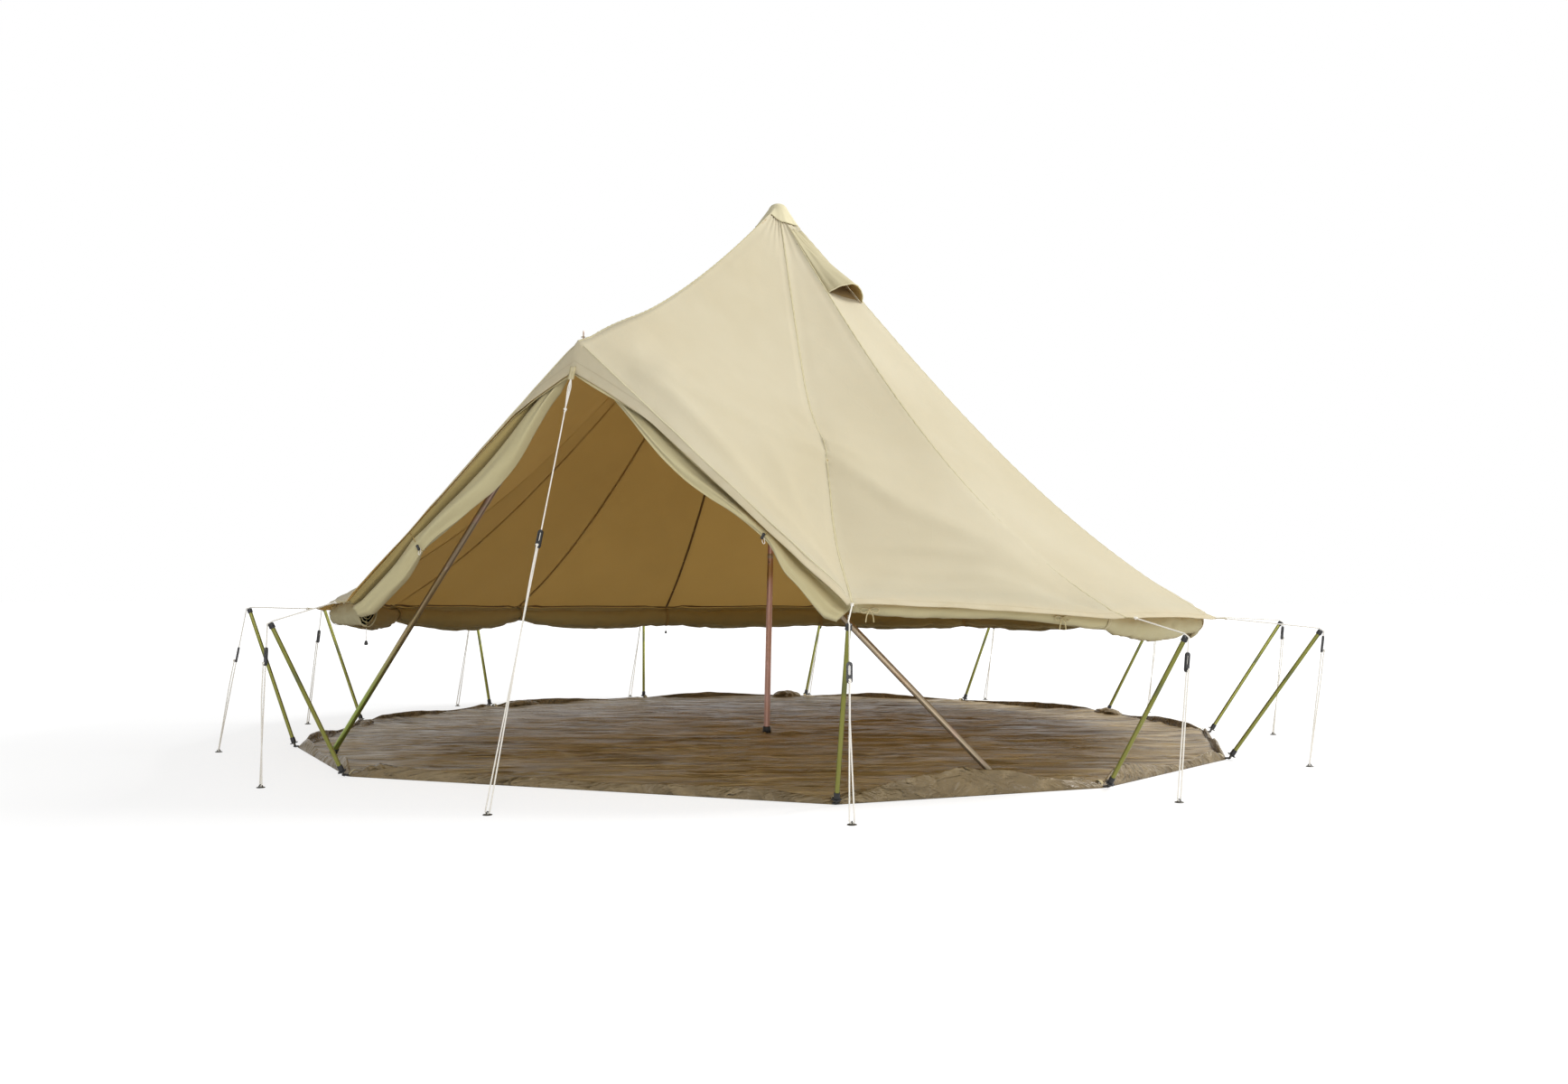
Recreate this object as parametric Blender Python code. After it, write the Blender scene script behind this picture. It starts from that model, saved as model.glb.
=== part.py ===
# Bell tent, pitched with its walls rolled up: a canvas cone on a centre pole, with an A-frame
# gable over the doorway and a ring of short side poles that guy ropes pull outwards.
# Metres, +Z up. The origin is on the ground in the middle of the ring of side poles,
# and the doorway faces -Y.

import math

import bmesh
import bpy
from mathutils import Matrix, Vector

GAP = 0.0003                     # clearance between pieces that touch

# Ring of side poles
SIDE_POLES = 12
FOOT_CIRCLE = 2.50               # radius of the circle that the pole feet stand on
DOOR_SPAN = math.radians(53.2)   # angle between the two poles beside the doorway
SIDE_POLE_LENGTH = 0.75
SIDE_POLE_RADIUS = 0.0095
POLE_LEANS = (23.0, 32.5, 34.0, 33.5, 31.0, 29.0, 26.0, 22.5, 20.0, 21.0, 18.0, 26.5)  # outward, degrees
SPIKE_TIP_RADIUS = 0.003
SPIKE_LENGTH = 0.024
FLANGE_RADIUS = 0.020
FLANGE_THICKNESS = 0.004
CAP_RADIUS = 0.0125
CAP_LENGTH = 0.022

# Canopy
CANVAS = 0.003                   # cloth with its hems, as one solid sheet
PEAK_SHIFT = Vector((0.06, 0.02, 0.0))  # the peak stands a little off the middle
EAVE_FOLLOW = 0.55               # how much of that shift the eave follows
PEAK_HEIGHT = 3.00
# The eave's corners behind the doorway, counted like the poles: how far each lies from the
# middle, how far it is drawn sideways round the ring (clockwise is below zero), and its height.
EAVE_REACHES = (2.57, 2.42, 2.43, 2.42, 2.42, 2.42, 2.42, 2.42, 2.44, 2.44)
EAVE_SHIFTS = (0.0, 0.0, 0.0, -0.05, -0.08, -0.11, -0.08, -0.05, 0.0, 0.0)
EAVE_HEIGHTS = (0.70, 0.675, 0.66, 0.64, 0.63, 0.63, 0.63, 0.64, 0.66, 0.715)
ROOF_SAG = 0.205                 # how far a roof seam hangs below its chord
RIDGE_SAG = 0.092
PANEL_HOLLOW = 0.02              # how far a panel draws in between its seams
GABLE_FRONT = 2.215              # from the middle to the gable's plane
GABLE_APEX_HEIGHT = 1.84
DOOR_CORNER_HALF_WIDTH = 1.18
DOOR_CORNER_HEIGHT = 0.76
HEM_SHARE = 0.015                # the hem band, as a share of a seam's length
VALANCE_FLARE = 0.35             # outward run of the valance for each metre of its drop
VALANCE_DEPTH = 0.135            # at the gable's apex
VALANCE_TAPER = 0.335            # how much shallower it would be a whole gable panel away
GABLE_HEM = 0.080                # depth of the strip along the gable's edge, if it ran to the apex
COLLAR_SHARE = 0.02              # the canopy's top ring, as a share of a seam's length
CAP_SHARE = 0.05                 # the peak cap's lower edge, likewise
TAB_WIDTH = 0.026
TAB_REACH = 0.040
TAB_THICKNESS = 0.005
TAB_OVERLAP = 0.020              # length of tab sewn over the canopy

# Vents near the peak
VENTS = ("right", "back", "left")
VENT_TOP_SHARE = 0.065
VENT_LIP_SHARE = 0.255
VENT_LIFT = 0.062                # height of the open lip over the roof
VENT_EDGE = 0.12                 # width left beside each seam, as a share of the panel

# Rolled cloth
ROLL_INSET = 0.070               # from the hem band in to the seam that the wall hangs from
# Depth of the rolled wall in the middle of each panel, and at each pole, where a tie draws it in
ROLL_DROPS = (0.105, 0.150, 0.150, 0.150, 0.150, 0.150, 0.150, 0.150, 0.150, 0.145, 0.150)
ROLL_TIE_DROPS = (0.090, 0.100, 0.100, 0.100, 0.100, 0.125, 0.125, 0.120, 0.080, 0.080, 0.120, 0.165)
ROLL_SHOULDER = 0.8              # drop of the roll's outer top for each metre that it stands out
ROLL_CLEARANCE = 0.004
ROLL_OUTER = 0.035               # outward half width
ROLL_INNER = 0.075               # inward half width
ROLL_TIE_SQUEEZE = 0.72
DOOR_ROLL_INSET = 0.020
DOOR_ROLL_START = 0.7            # in columns of the gable panel
DOOR_ROLL_END = 5.85
DOOR_ROLL_OUTER = 0.010
DOOR_ROLL_INNER = 0.040
DOOR_TIE_COLUMN = 4.35           # where the toggle draws the door flap in
# Depth of each door flap at its top, its upper fold, its toggle, its lower fold and its end
RIGHT_FLAP_DROPS = (0.075, 0.115, 0.058, 0.105, 0.120)
LEFT_FLAP_DROPS = (0.080, 0.160, 0.105, 0.130, 0.120)

# Centre pole
CENTRE_RADIUS = 0.017
CENTRE_SECTIONS = ("lower", "middle", "upper")
SPIGOT_LENGTH = 0.090
SPIGOT_WALL = 0.002              # tube wall round a spigot
SPIGOT_CLEARANCE = 0.0004
FOOT_PLUG_EXTRA = 0.005          # how far a foot plug stands out from its tube
FOOT_PLUG_LENGTH = 0.030
HEAD_FLAT_RADIUS = 0.006
HEAD_TAPER = 0.030

# A-frame
A_FRAME_RADIUS = 0.014
A_FRAME_SETBACK = 0.045          # from the gable's plane back to the A-frame's apex
A_FOOT_HALF_SPREAD = 1.649
A_FOOT_SETBACK = 0.568           # from the gable's plane back to the feet
HUB_RADIUS = 0.0155
PIN_RADIUS = 0.003
PIN_REACH = 0.032                # from the canopy up to the pin's tip

# Groundsheet
SHEET = 0.003
SPIKE_CLEARANCE = 0.010          # from a spike's axis in to the sheet's corner
# Height of the slack wall in each side panel, round from the doorway's right, then the doorway
RIM_HEIGHTS = (0.112, 0.062, 0.052, 0.045, 0.042, 0.042, 0.042, 0.042, 0.045, 0.050, 0.058, 0.046)
RIM_CORNER_HEIGHT = 0.016
RIM_BASE = 0.026
RIM_TOP = 0.010
RIM_RUFFLE = 0.009

# Guy ropes, their runners and anchors
ROPE_RADIUS = 0.00275
PEG_REACH = 0.33                 # from the circle of pole feet out to the anchors
PEG_SHIFT = Vector((0.03, -0.085, 0.0))
FRONT_PEG = 2.87
RUNNER_DROPS = (0.125, 0.050, 0.014, 0.012, 0.060, 0.050, 0.080, 0.050, 0.060, 0.130, 0.190, 0.090)
FRONT_RUNNER_DROP = 0.660
RUNNER_LENGTH = 0.077
RUNNER_WIDTH = 0.022
RUNNER_THICKNESS = 0.009
RUNNER_BORE = 0.0034             # radius of the rope's way along the runner
RUNNER_SLACKEN = 0.10            # travel kept clear below the runner
KNOT_RADIUS = 0.0055
ANCHOR_RADIUS = 0.018
ANCHOR_THICKNESS = 0.003
ANCHOR_WIRE = 0.002
LOOP_HALF_WIDTH = 0.009          # half the gap between the two strands at the anchor

# Toggles
TOGGLE_LENGTH = 0.026
TOGGLE_RADIUS = 0.0065
TOGGLE_CORD_RADIUS = 0.0015
TOGGLE_CORD_LENGTH = 0.055

# Facets
FRONT_COLUMNS = 6
PANEL_COLUMNS = 3
ROOF_ROWS = 10
TUBE_SIDES = 12
POLE_SIDES = 8
ROLL_SIDES = 10

MATERIALS = {
    "canvas": ("#d8ceac", 0.95, 0.0),
    "canvas_inside": ("#b9a67c", 0.95, 0.0),
    "groundsheet_cloth": ("#6b563f", 0.75, 0.0),
    "passivated_tube": ("#8f8440", 0.35, 0.9),
    "bronze_tube": ("#9c7c62", 0.35, 0.9),
    "guy_rope": ("#f2ece0", 0.8, 0.0),
    "black_plastic": ("#1b1b1c", 0.45, 0.0),
}


def linear(value):
    """Turn one sRGB channel from 0 to 1 into its linear value."""
    if value <= 0.04045:
        return value / 12.92
    return ((value + 0.055) / 1.055) ** 2.4


def make_material(name, slot):
    """Give a piece its own Principled material."""
    colour, roughness, metallic = MATERIALS[slot]
    material = bpy.data.materials.new(name)
    material.use_nodes = True
    shader = material.node_tree.nodes["Principled BSDF"]
    channels = [linear(int(colour[k:k + 2], 16) / 255.0) for k in (1, 3, 5)]
    shader.inputs["Base Color"].default_value = (*channels, 1.0)
    shader.inputs["Roughness"].default_value = roughness
    shader.inputs["Metallic"].default_value = metallic
    return material


def place(name, mesh, slot, matrix=None, sharp=35.0):
    """Link a mesh as a named piece, shaded smooth, with its own material."""
    mesh.shade_smooth()
    mesh.set_sharp_from_angle(angle=math.radians(sharp))
    piece = bpy.data.objects.new(name, mesh)
    bpy.context.scene.collection.objects.link(piece)
    if matrix is not None:
        piece.matrix_world = matrix
    if not mesh.materials:
        mesh.materials.append(None)
    piece.material_slots[0].link = "OBJECT"
    piece.material_slots[0].material = make_material(name, slot)
    return piece


def helper(mesh, matrix=None):
    """Link a mesh that only shapes another piece."""
    guide = bpy.data.objects.new("shape_guide", mesh)
    bpy.context.scene.collection.objects.link(guide)
    guide.hide_render = True
    guide.display_type = "WIRE"
    if matrix is not None:
        guide.matrix_world = matrix
    return guide


def combined(mesh, steps):
    """Return the mesh after unions and cuts with other meshes, each step (operation, mesh, matrix)."""
    base = helper(mesh)
    guides = [base]
    for operation, other, matrix in steps:
        guide = helper(other, matrix)
        guides.append(guide)
        modifier = base.modifiers.new(operation, "BOOLEAN")
        modifier.operation = operation
        modifier.solver = "EXACT"
        modifier.object = guide
    bpy.context.view_layer.update()
    shaped = base.evaluated_get(bpy.context.evaluated_depsgraph_get())
    result = bpy.data.meshes.new_from_object(shaped)
    for guide in guides:
        bpy.data.objects.remove(guide, do_unlink=True)
    return result


def finished(shape, name):
    """Close a bmesh into a mesh with its faces pointing out."""
    bmesh.ops.remove_doubles(shape, verts=shape.verts, dist=1e-6)
    bmesh.ops.recalc_face_normals(shape, faces=shape.faces)
    mesh = bpy.data.meshes.new(name)
    shape.to_mesh(mesh)
    shape.free()
    return mesh


def turned(profile, sides, name):
    """Spin a profile of (radius, height) points that starts and ends on the axis."""
    shape = bmesh.new()
    verts = [shape.verts.new((radius, 0.0, height)) for radius, height in profile]
    edges = [shape.edges.new(pair) for pair in zip(verts, verts[1:])]
    bmesh.ops.spin(shape, geom=verts + edges, cent=(0, 0, 0), axis=(0, 0, 1),
                   angle=2 * math.pi, steps=sides, use_merge=True)
    return finished(shape, name)


def lofted(rings, name):
    """Skin a list of closed rings and cap both ends."""
    shape = bmesh.new()
    loops = [[shape.verts.new(point) for point in ring] for ring in rings]
    count = len(rings[0])
    for lower, upper in zip(loops, loops[1:]):
        for k in range(count):
            following = (k + 1) % count
            shape.faces.new((lower[k], lower[following], upper[following], upper[k]))
    shape.faces.new(list(reversed(loops[0])))
    shape.faces.new(loops[-1])
    return finished(shape, name)


def sheet_mesh(grid, name, thickness, closed=False):
    """Turn a grid of columns of points into a sheet, thickened against its normals."""
    mesh = bpy.data.meshes.new(name)
    rows = len(grid[0])
    points = [point for column in grid for point in column]
    faces = []
    spans = len(grid) if closed else len(grid) - 1
    for c in range(spans):
        following = (c + 1) % len(grid)
        for r in range(rows - 1):
            faces.append((c * rows + r, c * rows + r + 1,
                          following * rows + r + 1, following * rows + r))
    mesh.from_pydata(points, [], faces)
    guide = helper(mesh)
    solidify = guide.modifiers.new("cloth thickness", "SOLIDIFY")
    solidify.thickness = thickness
    solidify.offset = -1.0
    bpy.context.view_layer.update()
    shaped = guide.evaluated_get(bpy.context.evaluated_depsgraph_get())
    result = bpy.data.meshes.new_from_object(shaped)
    bpy.data.objects.remove(guide, do_unlink=True)
    return result


def tube_mesh(points, radius, sides_level, name):
    """Sweep a round tube along a polyline, with filled ends."""
    curve = bpy.data.curves.new(name, "CURVE")
    curve.dimensions = "3D"
    curve.bevel_depth = radius
    curve.bevel_resolution = sides_level
    curve.use_fill_caps = True
    curve.render_resolution_u = 0
    spline = curve.splines.new("POLY")
    spline.points.add(len(points) - 1)
    for slot, point in zip(spline.points, points):
        slot.co = (*point, 1.0)
    guide = helper(curve)
    bpy.context.view_layer.update()
    shaped = guide.evaluated_get(bpy.context.evaluated_depsgraph_get())
    skin = bpy.data.meshes.new_from_object(shaped)
    bpy.data.objects.remove(guide, do_unlink=True)
    shape = bmesh.new()
    shape.from_mesh(skin)
    return finished(shape, name)


def box_mesh(size, name):
    """Make a box of the given size about its own middle."""
    shape = bmesh.new()
    bmesh.ops.create_cube(shape, size=1.0, matrix=Matrix.Diagonal((*size, 1.0)))
    return finished(shape, name)


def frame_at(origin, along, across):
    """Matrix whose Z runs along a direction, with Y as near as can be to another."""
    z_axis = along.normalized()
    x_axis = across.cross(z_axis).normalized()
    y_axis = z_axis.cross(x_axis)
    return Matrix.Translation(origin) @ Matrix((x_axis, y_axis, z_axis)).transposed().to_4x4()


# Layout

def pole_azimuth(i):
    """Azimuth of a side pole, counted from the doorway's right-hand pole round the back."""
    step = (2 * math.pi - DOOR_SPAN) / (SIDE_POLES - 1)
    return -math.pi / 2 + DOOR_SPAN / 2 + i * step


def radial(azimuth):
    """Unit vector pointing out from the middle."""
    return Vector((math.cos(azimuth), math.sin(azimuth), 0.0))


def sideways(azimuth):
    """Unit vector round the ring, counter-clockwise."""
    return Vector((-math.sin(azimuth), math.cos(azimuth), 0.0))


def corner_shift(i):
    """How far a corner of the eave and its pole's top are drawn sideways."""
    return 0.0 if i in (0, SIDE_POLES - 1) else EAVE_SHIFTS[i - 1]


def pole_axis(i):
    """Unit vector up a side pole."""
    out = math.sin(math.radians(POLE_LEANS[i]))
    swing = corner_shift(i) / SIDE_POLE_LENGTH
    rise = math.sqrt(1 - out ** 2 - swing ** 2)
    azimuth = pole_azimuth(i)
    return radial(azimuth) * out + sideways(azimuth) * swing + Vector((0, 0, rise))


def pole_foot(i):
    """Middle of a side pole's spike tip, which rests on its lower edge."""
    lift = SPIKE_TIP_RADIUS * math.sqrt(1 - pole_axis(i).z ** 2)
    return radial(pole_azimuth(i)) * FOOT_CIRCLE + Vector((0, 0, lift))


def pole_top(i):
    """Middle of a side pole's top face."""
    return pole_foot(i) + pole_axis(i) * SIDE_POLE_LENGTH


PEAK = PEAK_SHIFT + Vector((0, 0, PEAK_HEIGHT))
GABLE_APEX = Vector((0, -GABLE_FRONT, GABLE_APEX_HEIGHT))


def eave_corner(i):
    """Corner of the eave at a side pole; the first and last are the doorway's."""
    if i in (0, SIDE_POLES - 1):
        side = 1 if i == 0 else -1
        x = side * DOOR_CORNER_HALF_WIDTH + PEAK_SHIFT.x * EAVE_FOLLOW * (1 - side) / 2
        return Vector((x, -GABLE_FRONT, DOOR_CORNER_HEIGHT))
    azimuth = pole_azimuth(i)
    level = radial(azimuth) * EAVE_REACHES[i - 1] + sideways(azimuth) * corner_shift(i)
    return PEAK_SHIFT * EAVE_FOLLOW + level + Vector((0, 0, EAVE_HEIGHTS[i - 1]))


def seam_point(end, share, sag, fullness):
    """Point at a share of the way down a seam that sags from the peak to its end."""
    point = PEAK.lerp(end, share)
    lowest = fullness / (fullness + 1)
    deepest = lowest ** fullness * (1 - lowest)
    point.z -= sag * share ** fullness * (1 - share) / deepest
    return point


def roof_seam(i, share):
    """Roof seam from the peak to an eave corner; it sags most below its middle."""
    return seam_point(eave_corner(i), share, ROOF_SAG, 1.5)


def ridge_seam(share):
    """Ridge from the peak to the gable's apex."""
    return seam_point(GABLE_APEX, share, RIDGE_SAG, 1.2)


def panel_point(upper, lower, across, share):
    """Point of a panel between two seams, drawn in a little between them."""
    start = upper(share)
    end = lower(share)
    point = start.lerp(end, across)
    inward = (PEAK_SHIFT - point)
    inward.z = 0.0
    draw = PANEL_HOLLOW * math.sin(math.pi * across) * math.sin(math.pi * share)
    return point + inward.normalized() * draw


def row_shares(hem):
    """Shares of the seam at the rows of the canopy's grid, down to its hem band."""
    step = (1 - hem - COLLAR_SHARE) / ROOF_ROWS
    return [COLLAR_SHARE + step * row for row in range(ROOF_ROWS + 1)]


def front_column(column, side):
    """One column of a gable panel, with the valance below the door edge."""
    across = column / FRONT_COLUMNS
    corner = 0 if side > 0 else SIDE_POLES - 1
    lower = (lambda share: roof_seam(corner, share))
    shares = row_shares(HEM_SHARE * across ** 2)
    points = [panel_point(ridge_seam, lower, across, share) for share in shares]
    drop = max(VALANCE_DEPTH - VALANCE_TAPER * across, GABLE_HEM * (1 - across))
    azimuth = -math.pi / 2 + side * DOOR_SPAN / 2 * across
    edge = panel_point(ridge_seam, lower, across, 1.0)
    points.append(edge + radial(azimuth) * VALANCE_FLARE * drop - Vector((0, 0, drop)))
    return points


def side_column(panel, column):
    """One column of the panel between two side poles, down to the edge of its hem."""
    across = column / PANEL_COLUMNS
    upper = (lambda share: roof_seam(panel, share))
    lower = (lambda share: roof_seam(panel + 1, share))
    shares = row_shares(HEM_SHARE) + [1.0]
    return [panel_point(upper, lower, across, share) for share in shares]


def canopy_grid():
    """All columns of the canopy, from the ridge round by the back to the ridge again."""
    grid = [front_column(column, 1) for column in range(FRONT_COLUMNS)]
    for panel in range(SIDE_POLES - 1):
        grid += [side_column(panel, column) for column in range(PANEL_COLUMNS)]
    return grid + [front_column(column, -1) for column in range(FRONT_COLUMNS, 0, -1)]


GRID = canopy_grid()
EAVE_ROW = ROOF_ROWS
FIRST_CORNER = FRONT_COLUMNS
LAST_CORNER = FRONT_COLUMNS + PANEL_COLUMNS * (SIDE_POLES - 1)


def grid_point(column, row):
    """Point on the faceted canopy at any column and row."""
    base = int(math.floor(column))
    across = column - base
    low = int(math.floor(row))
    down = row - low
    below = min(low + 1, EAVE_ROW)
    here = GRID[base % len(GRID)]
    there = GRID[(base + 1) % len(GRID)]
    start = here[low].lerp(here[below], down)
    end = there[low].lerp(there[below], down)
    return start.lerp(end, across)


def grid_normal(column, row, step=0.05):
    """Outward normal of the faceted canopy."""
    along = grid_point(column + step, row) - grid_point(column - step, row)
    down = grid_point(column, row) - grid_point(column, row - step)
    return down.cross(along).normalized()


def underside(column, inset):
    """Point just under the canopy, a distance in from its lower edge."""
    length = (grid_point(column, EAVE_ROW) - grid_point(column, EAVE_ROW - 1)).length
    row = EAVE_ROW - inset / length
    return grid_point(column, row) - grid_normal(column, row) * (CANVAS + 2 * GAP)


# Canopy and its sewn parts

def tab_matrix(root, outward):
    """Place for a sewn tab that lies flat and reaches outward from the canopy's edge."""
    middle = root + outward * (TAB_REACH - TAB_OVERLAP) / 2
    return frame_at(middle, outward, Vector((0, 0, 1)))


def tab_root(i):
    """Where an eave corner's tab is sewn on, and the way it points."""
    corner = eave_corner(i)
    outward = pole_top(i) - corner
    outward.z = 0.0
    outward.normalize()
    return corner - Vector((0, 0, TAB_THICKNESS / 2)), outward


def front_tab_root():
    """Where the gable's own tab is sewn on, at the valance's tip, and the way it points."""
    tip = GRID[0][-1]
    outward = (front_anchor() - tip).normalized()
    return tip + Vector((0, CANVAS, 0)), outward


def build_canopy():
    """Roof of the tent with its hem, gable valance, guy tabs and the pin's grommet hole."""
    cloth = sheet_mesh(GRID, "canopy sheet", CANVAS, closed=True)
    size = (TAB_WIDTH, TAB_THICKNESS, TAB_REACH + TAB_OVERLAP)
    steps = []
    for i in range(SIDE_POLES):
        root, outward = tab_root(i)
        steps.append(("UNION", box_mesh(size, "tab"), tab_matrix(root, outward)))
    root, outward = front_tab_root()
    steps.append(("UNION", box_mesh(size, "tab"), tab_matrix(root, outward)))
    hole = turned([(0, -0.03), (PIN_RADIUS + 2 * GAP, -0.03), (PIN_RADIUS + 2 * GAP, 0.03), (0, 0.03)],
                  POLE_SIDES, "grommet hole")
    steps.append(("DIFFERENCE", hole, Matrix.Translation(ridge_over_hub())))
    place("roof_canopy", combined(cloth, steps), "canvas")


def build_peak_cap():
    """Second layer of canvas sewn over the top of the canopy."""
    columns = [0] + list(range(FIRST_CORNER, LAST_CORNER + 1, PANEL_COLUMNS))
    shares = (COLLAR_SHARE, CAP_SHARE)
    stand_off = 2 * CANVAS + 2 * GAP
    shape = bmesh.new()
    loops = []
    for share in shares:
        row = (share - COLLAR_SHARE) / (1 - COLLAR_SHARE) * ROOF_ROWS
        loops.append([[grid_point(c, row) + grid_normal(c, row + 0.06) * depth for c in columns]
                      for depth in (stand_off, CANVAS + GAP - CANVAS + GAP)])
    normal_rise = max(1.0 / grid_normal(c, 0.06).z for c in columns)
    outer = [[shape.verts.new(p) for p in loops[k][0]] for k in range(2)]
    inner = [[shape.verts.new(p) for p in loops[k][1]] for k in range(2)]
    tip = shape.verts.new(PEAK + Vector((0, 0, stand_off * normal_rise)))
    hollow = shape.verts.new(PEAK + Vector((0, 0, 2 * GAP * normal_rise)))
    count = len(columns)
    for k in range(count):
        n = (k + 1) % count
        shape.faces.new((outer[0][k], outer[1][k], outer[1][n], outer[0][n]))
        shape.faces.new((tip, outer[0][k], outer[0][n]))
        shape.faces.new((inner[0][k], inner[0][n], inner[1][n], inner[1][k]))
        shape.faces.new((hollow, inner[0][n], inner[0][k]))
        shape.faces.new((outer[1][k], inner[1][k], inner[1][n], outer[1][n]))
    place("peak_cap", finished(shape, "peak_cap"), "canvas")


def build_vent_hood(name, panel):
    """Curved hood over a roof vent, sewn down its sides and open at its lower lip."""
    first = FIRST_CORNER + PANEL_COLUMNS * panel
    grid = []
    steps = 6
    rows = 5
    for k in range(steps + 1):
        across = VENT_EDGE + (1 - 2 * VENT_EDGE) * k / steps
        column = []
        for r in range(rows):
            share = VENT_TOP_SHARE + (VENT_LIP_SHARE - VENT_TOP_SHARE) * r / (rows - 1)
            row = (share - COLLAR_SHARE) / (1 - COLLAR_SHARE) * ROOF_ROWS
            place_on_roof = grid_point(first + across * PANEL_COLUMNS, row)
            normal = grid_normal(first + PANEL_COLUMNS / 2, row)
            lift = VENT_LIFT * math.sin(math.pi * k / steps) * (r / (rows - 1)) ** 1.2
            column.append(place_on_roof + normal * (CANVAS + 3 * GAP + lift))
        grid.append(column)
    place("vent_hood_" + name, sheet_mesh(grid, name, CANVAS), "canvas")


# Rolled walls and door flaps

def roll_section(crest, inward, down, drop, outer, inner):
    """Closed outline of rolled cloth that hangs from its crest."""
    ring = []
    for k in range(ROLL_SIDES):
        angle = 2 * math.pi * k / ROLL_SIDES
        run = math.sin(angle) * (inner if math.sin(angle) > 0 else outer)
        fall = drop * (1 - math.cos(angle)) / 2
        if run < 0 and k > ROLL_SIDES * 3 // 4:
            fall = max(fall, -run * ROLL_SHOULDER + ROLL_CLEARANCE)
        ring.append(crest + inward * run + down * fall)
    return ring


def roll_ring(column):
    """Section of the rolled wall at a column of the canopy."""
    crest = underside(column, ROLL_INSET)
    inward = (PEAK_SHIFT - crest)
    inward.z = 0.0
    place_in_ring = (column - FIRST_CORNER) / PANEL_COLUMNS
    panel = min(int(place_in_ring), len(ROLL_DROPS) - 1)
    phase = place_in_ring - panel
    fullness = math.sin(math.pi * phase)
    tied = ROLL_TIE_DROPS[panel] + (ROLL_TIE_DROPS[panel + 1] - ROLL_TIE_DROPS[panel]) * phase
    drop = tied + (ROLL_DROPS[panel] - tied) * fullness
    squeeze = ROLL_TIE_SQUEEZE + (1 - ROLL_TIE_SQUEEZE) * fullness
    return roll_section(crest, inward.normalized(), Vector((0, 0, -1)), drop,
                        ROLL_OUTER * squeeze, ROLL_INNER * squeeze)


def build_wall_roll():
    """The wall, rolled up under the eave from one door corner round to the other."""
    rings = [roll_ring(column) for column in range(FIRST_CORNER, LAST_CORNER + 1)]
    place("wall_roll", lofted(rings, "wall_roll"), "canvas_inside")


def door_roll_drop(position, side):
    """Depth of a gathered door flap at a position in gable columns."""
    drops = RIGHT_FLAP_DROPS if side > 0 else LEFT_FLAP_DROPS
    upper = position < DOOR_TIE_COLUMN
    start, end = (DOOR_ROLL_START, DOOR_TIE_COLUMN) if upper else (DOOR_TIE_COLUMN, DOOR_ROLL_END)
    share = (position - start) / (end - start) * 2
    k = (0 if upper else 2) + (0 if share < 1 else 1)
    phase = share if share < 1 else share - 1
    return drops[k] + (drops[k + 1] - drops[k]) * (1 - math.cos(math.pi * phase)) / 2


def door_roll_ring(position, side):
    """Section of a gathered door flap under the gable's edge."""
    column = position if side > 0 else -position
    crest = underside(column, DOOR_ROLL_INSET)
    corner = eave_corner(0 if side > 0 else SIDE_POLES - 1)
    edge = (corner - GABLE_APEX).normalized()
    down = edge.cross(Vector((0, side, 0))).normalized()
    if down.z > 0:
        down.negate()
    share = min(1.0, (position - DOOR_ROLL_START) / 1.5, (DOOR_ROLL_END + 0.7 - position) / 1.5)
    inner = DOOR_ROLL_INNER * (0.45 + 0.55 * share)
    return roll_section(crest, Vector((0, 1, 0)), down, door_roll_drop(position, side),
                        DOOR_ROLL_OUTER, inner)


def door_positions():
    """Stations of the door roll's sections along the gable."""
    steps = [DOOR_ROLL_START + (DOOR_TIE_COLUMN - DOOR_ROLL_START) * k / 6 for k in range(6)]
    steps += [DOOR_TIE_COLUMN + (DOOR_ROLL_END - DOOR_TIE_COLUMN) * k / 4 for k in range(5)]
    return steps


def build_door_roll(name, side):
    """A door flap gathered along its edge of the gable."""
    rings = [door_roll_ring(position, side) for position in door_positions()]
    place("door_roll_" + name, lofted(rings, "door_roll"), "canvas_inside")


# Poles

def side_pole_mesh():
    """Side pole with its foot spike and flange, tube and top cap."""
    collar = SPIKE_LENGTH + FLANGE_THICKNESS
    tube_end = SIDE_POLE_LENGTH - CAP_LENGTH
    profile = [
        (0, 0),
        (SPIKE_TIP_RADIUS, 0),
        (SIDE_POLE_RADIUS, SPIKE_LENGTH),
        (FLANGE_RADIUS, SPIKE_LENGTH),
        (FLANGE_RADIUS, collar),
        (SIDE_POLE_RADIUS, collar),
        (SIDE_POLE_RADIUS, tube_end),
        (CAP_RADIUS, tube_end),
        (CAP_RADIUS, SIDE_POLE_LENGTH),
        (0, SIDE_POLE_LENGTH),
    ]
    return turned(profile, POLE_SIDES, "side_pole")


def build_side_poles():
    """The ring of short poles, all of one pattern."""
    mesh = side_pole_mesh()
    for i in range(SIDE_POLES):
        matrix = frame_at(pole_foot(i), pole_axis(i), radial(pole_azimuth(i)))
        place("side_pole_%02d" % (i + 1), mesh, "passivated_tube", matrix)


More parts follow.
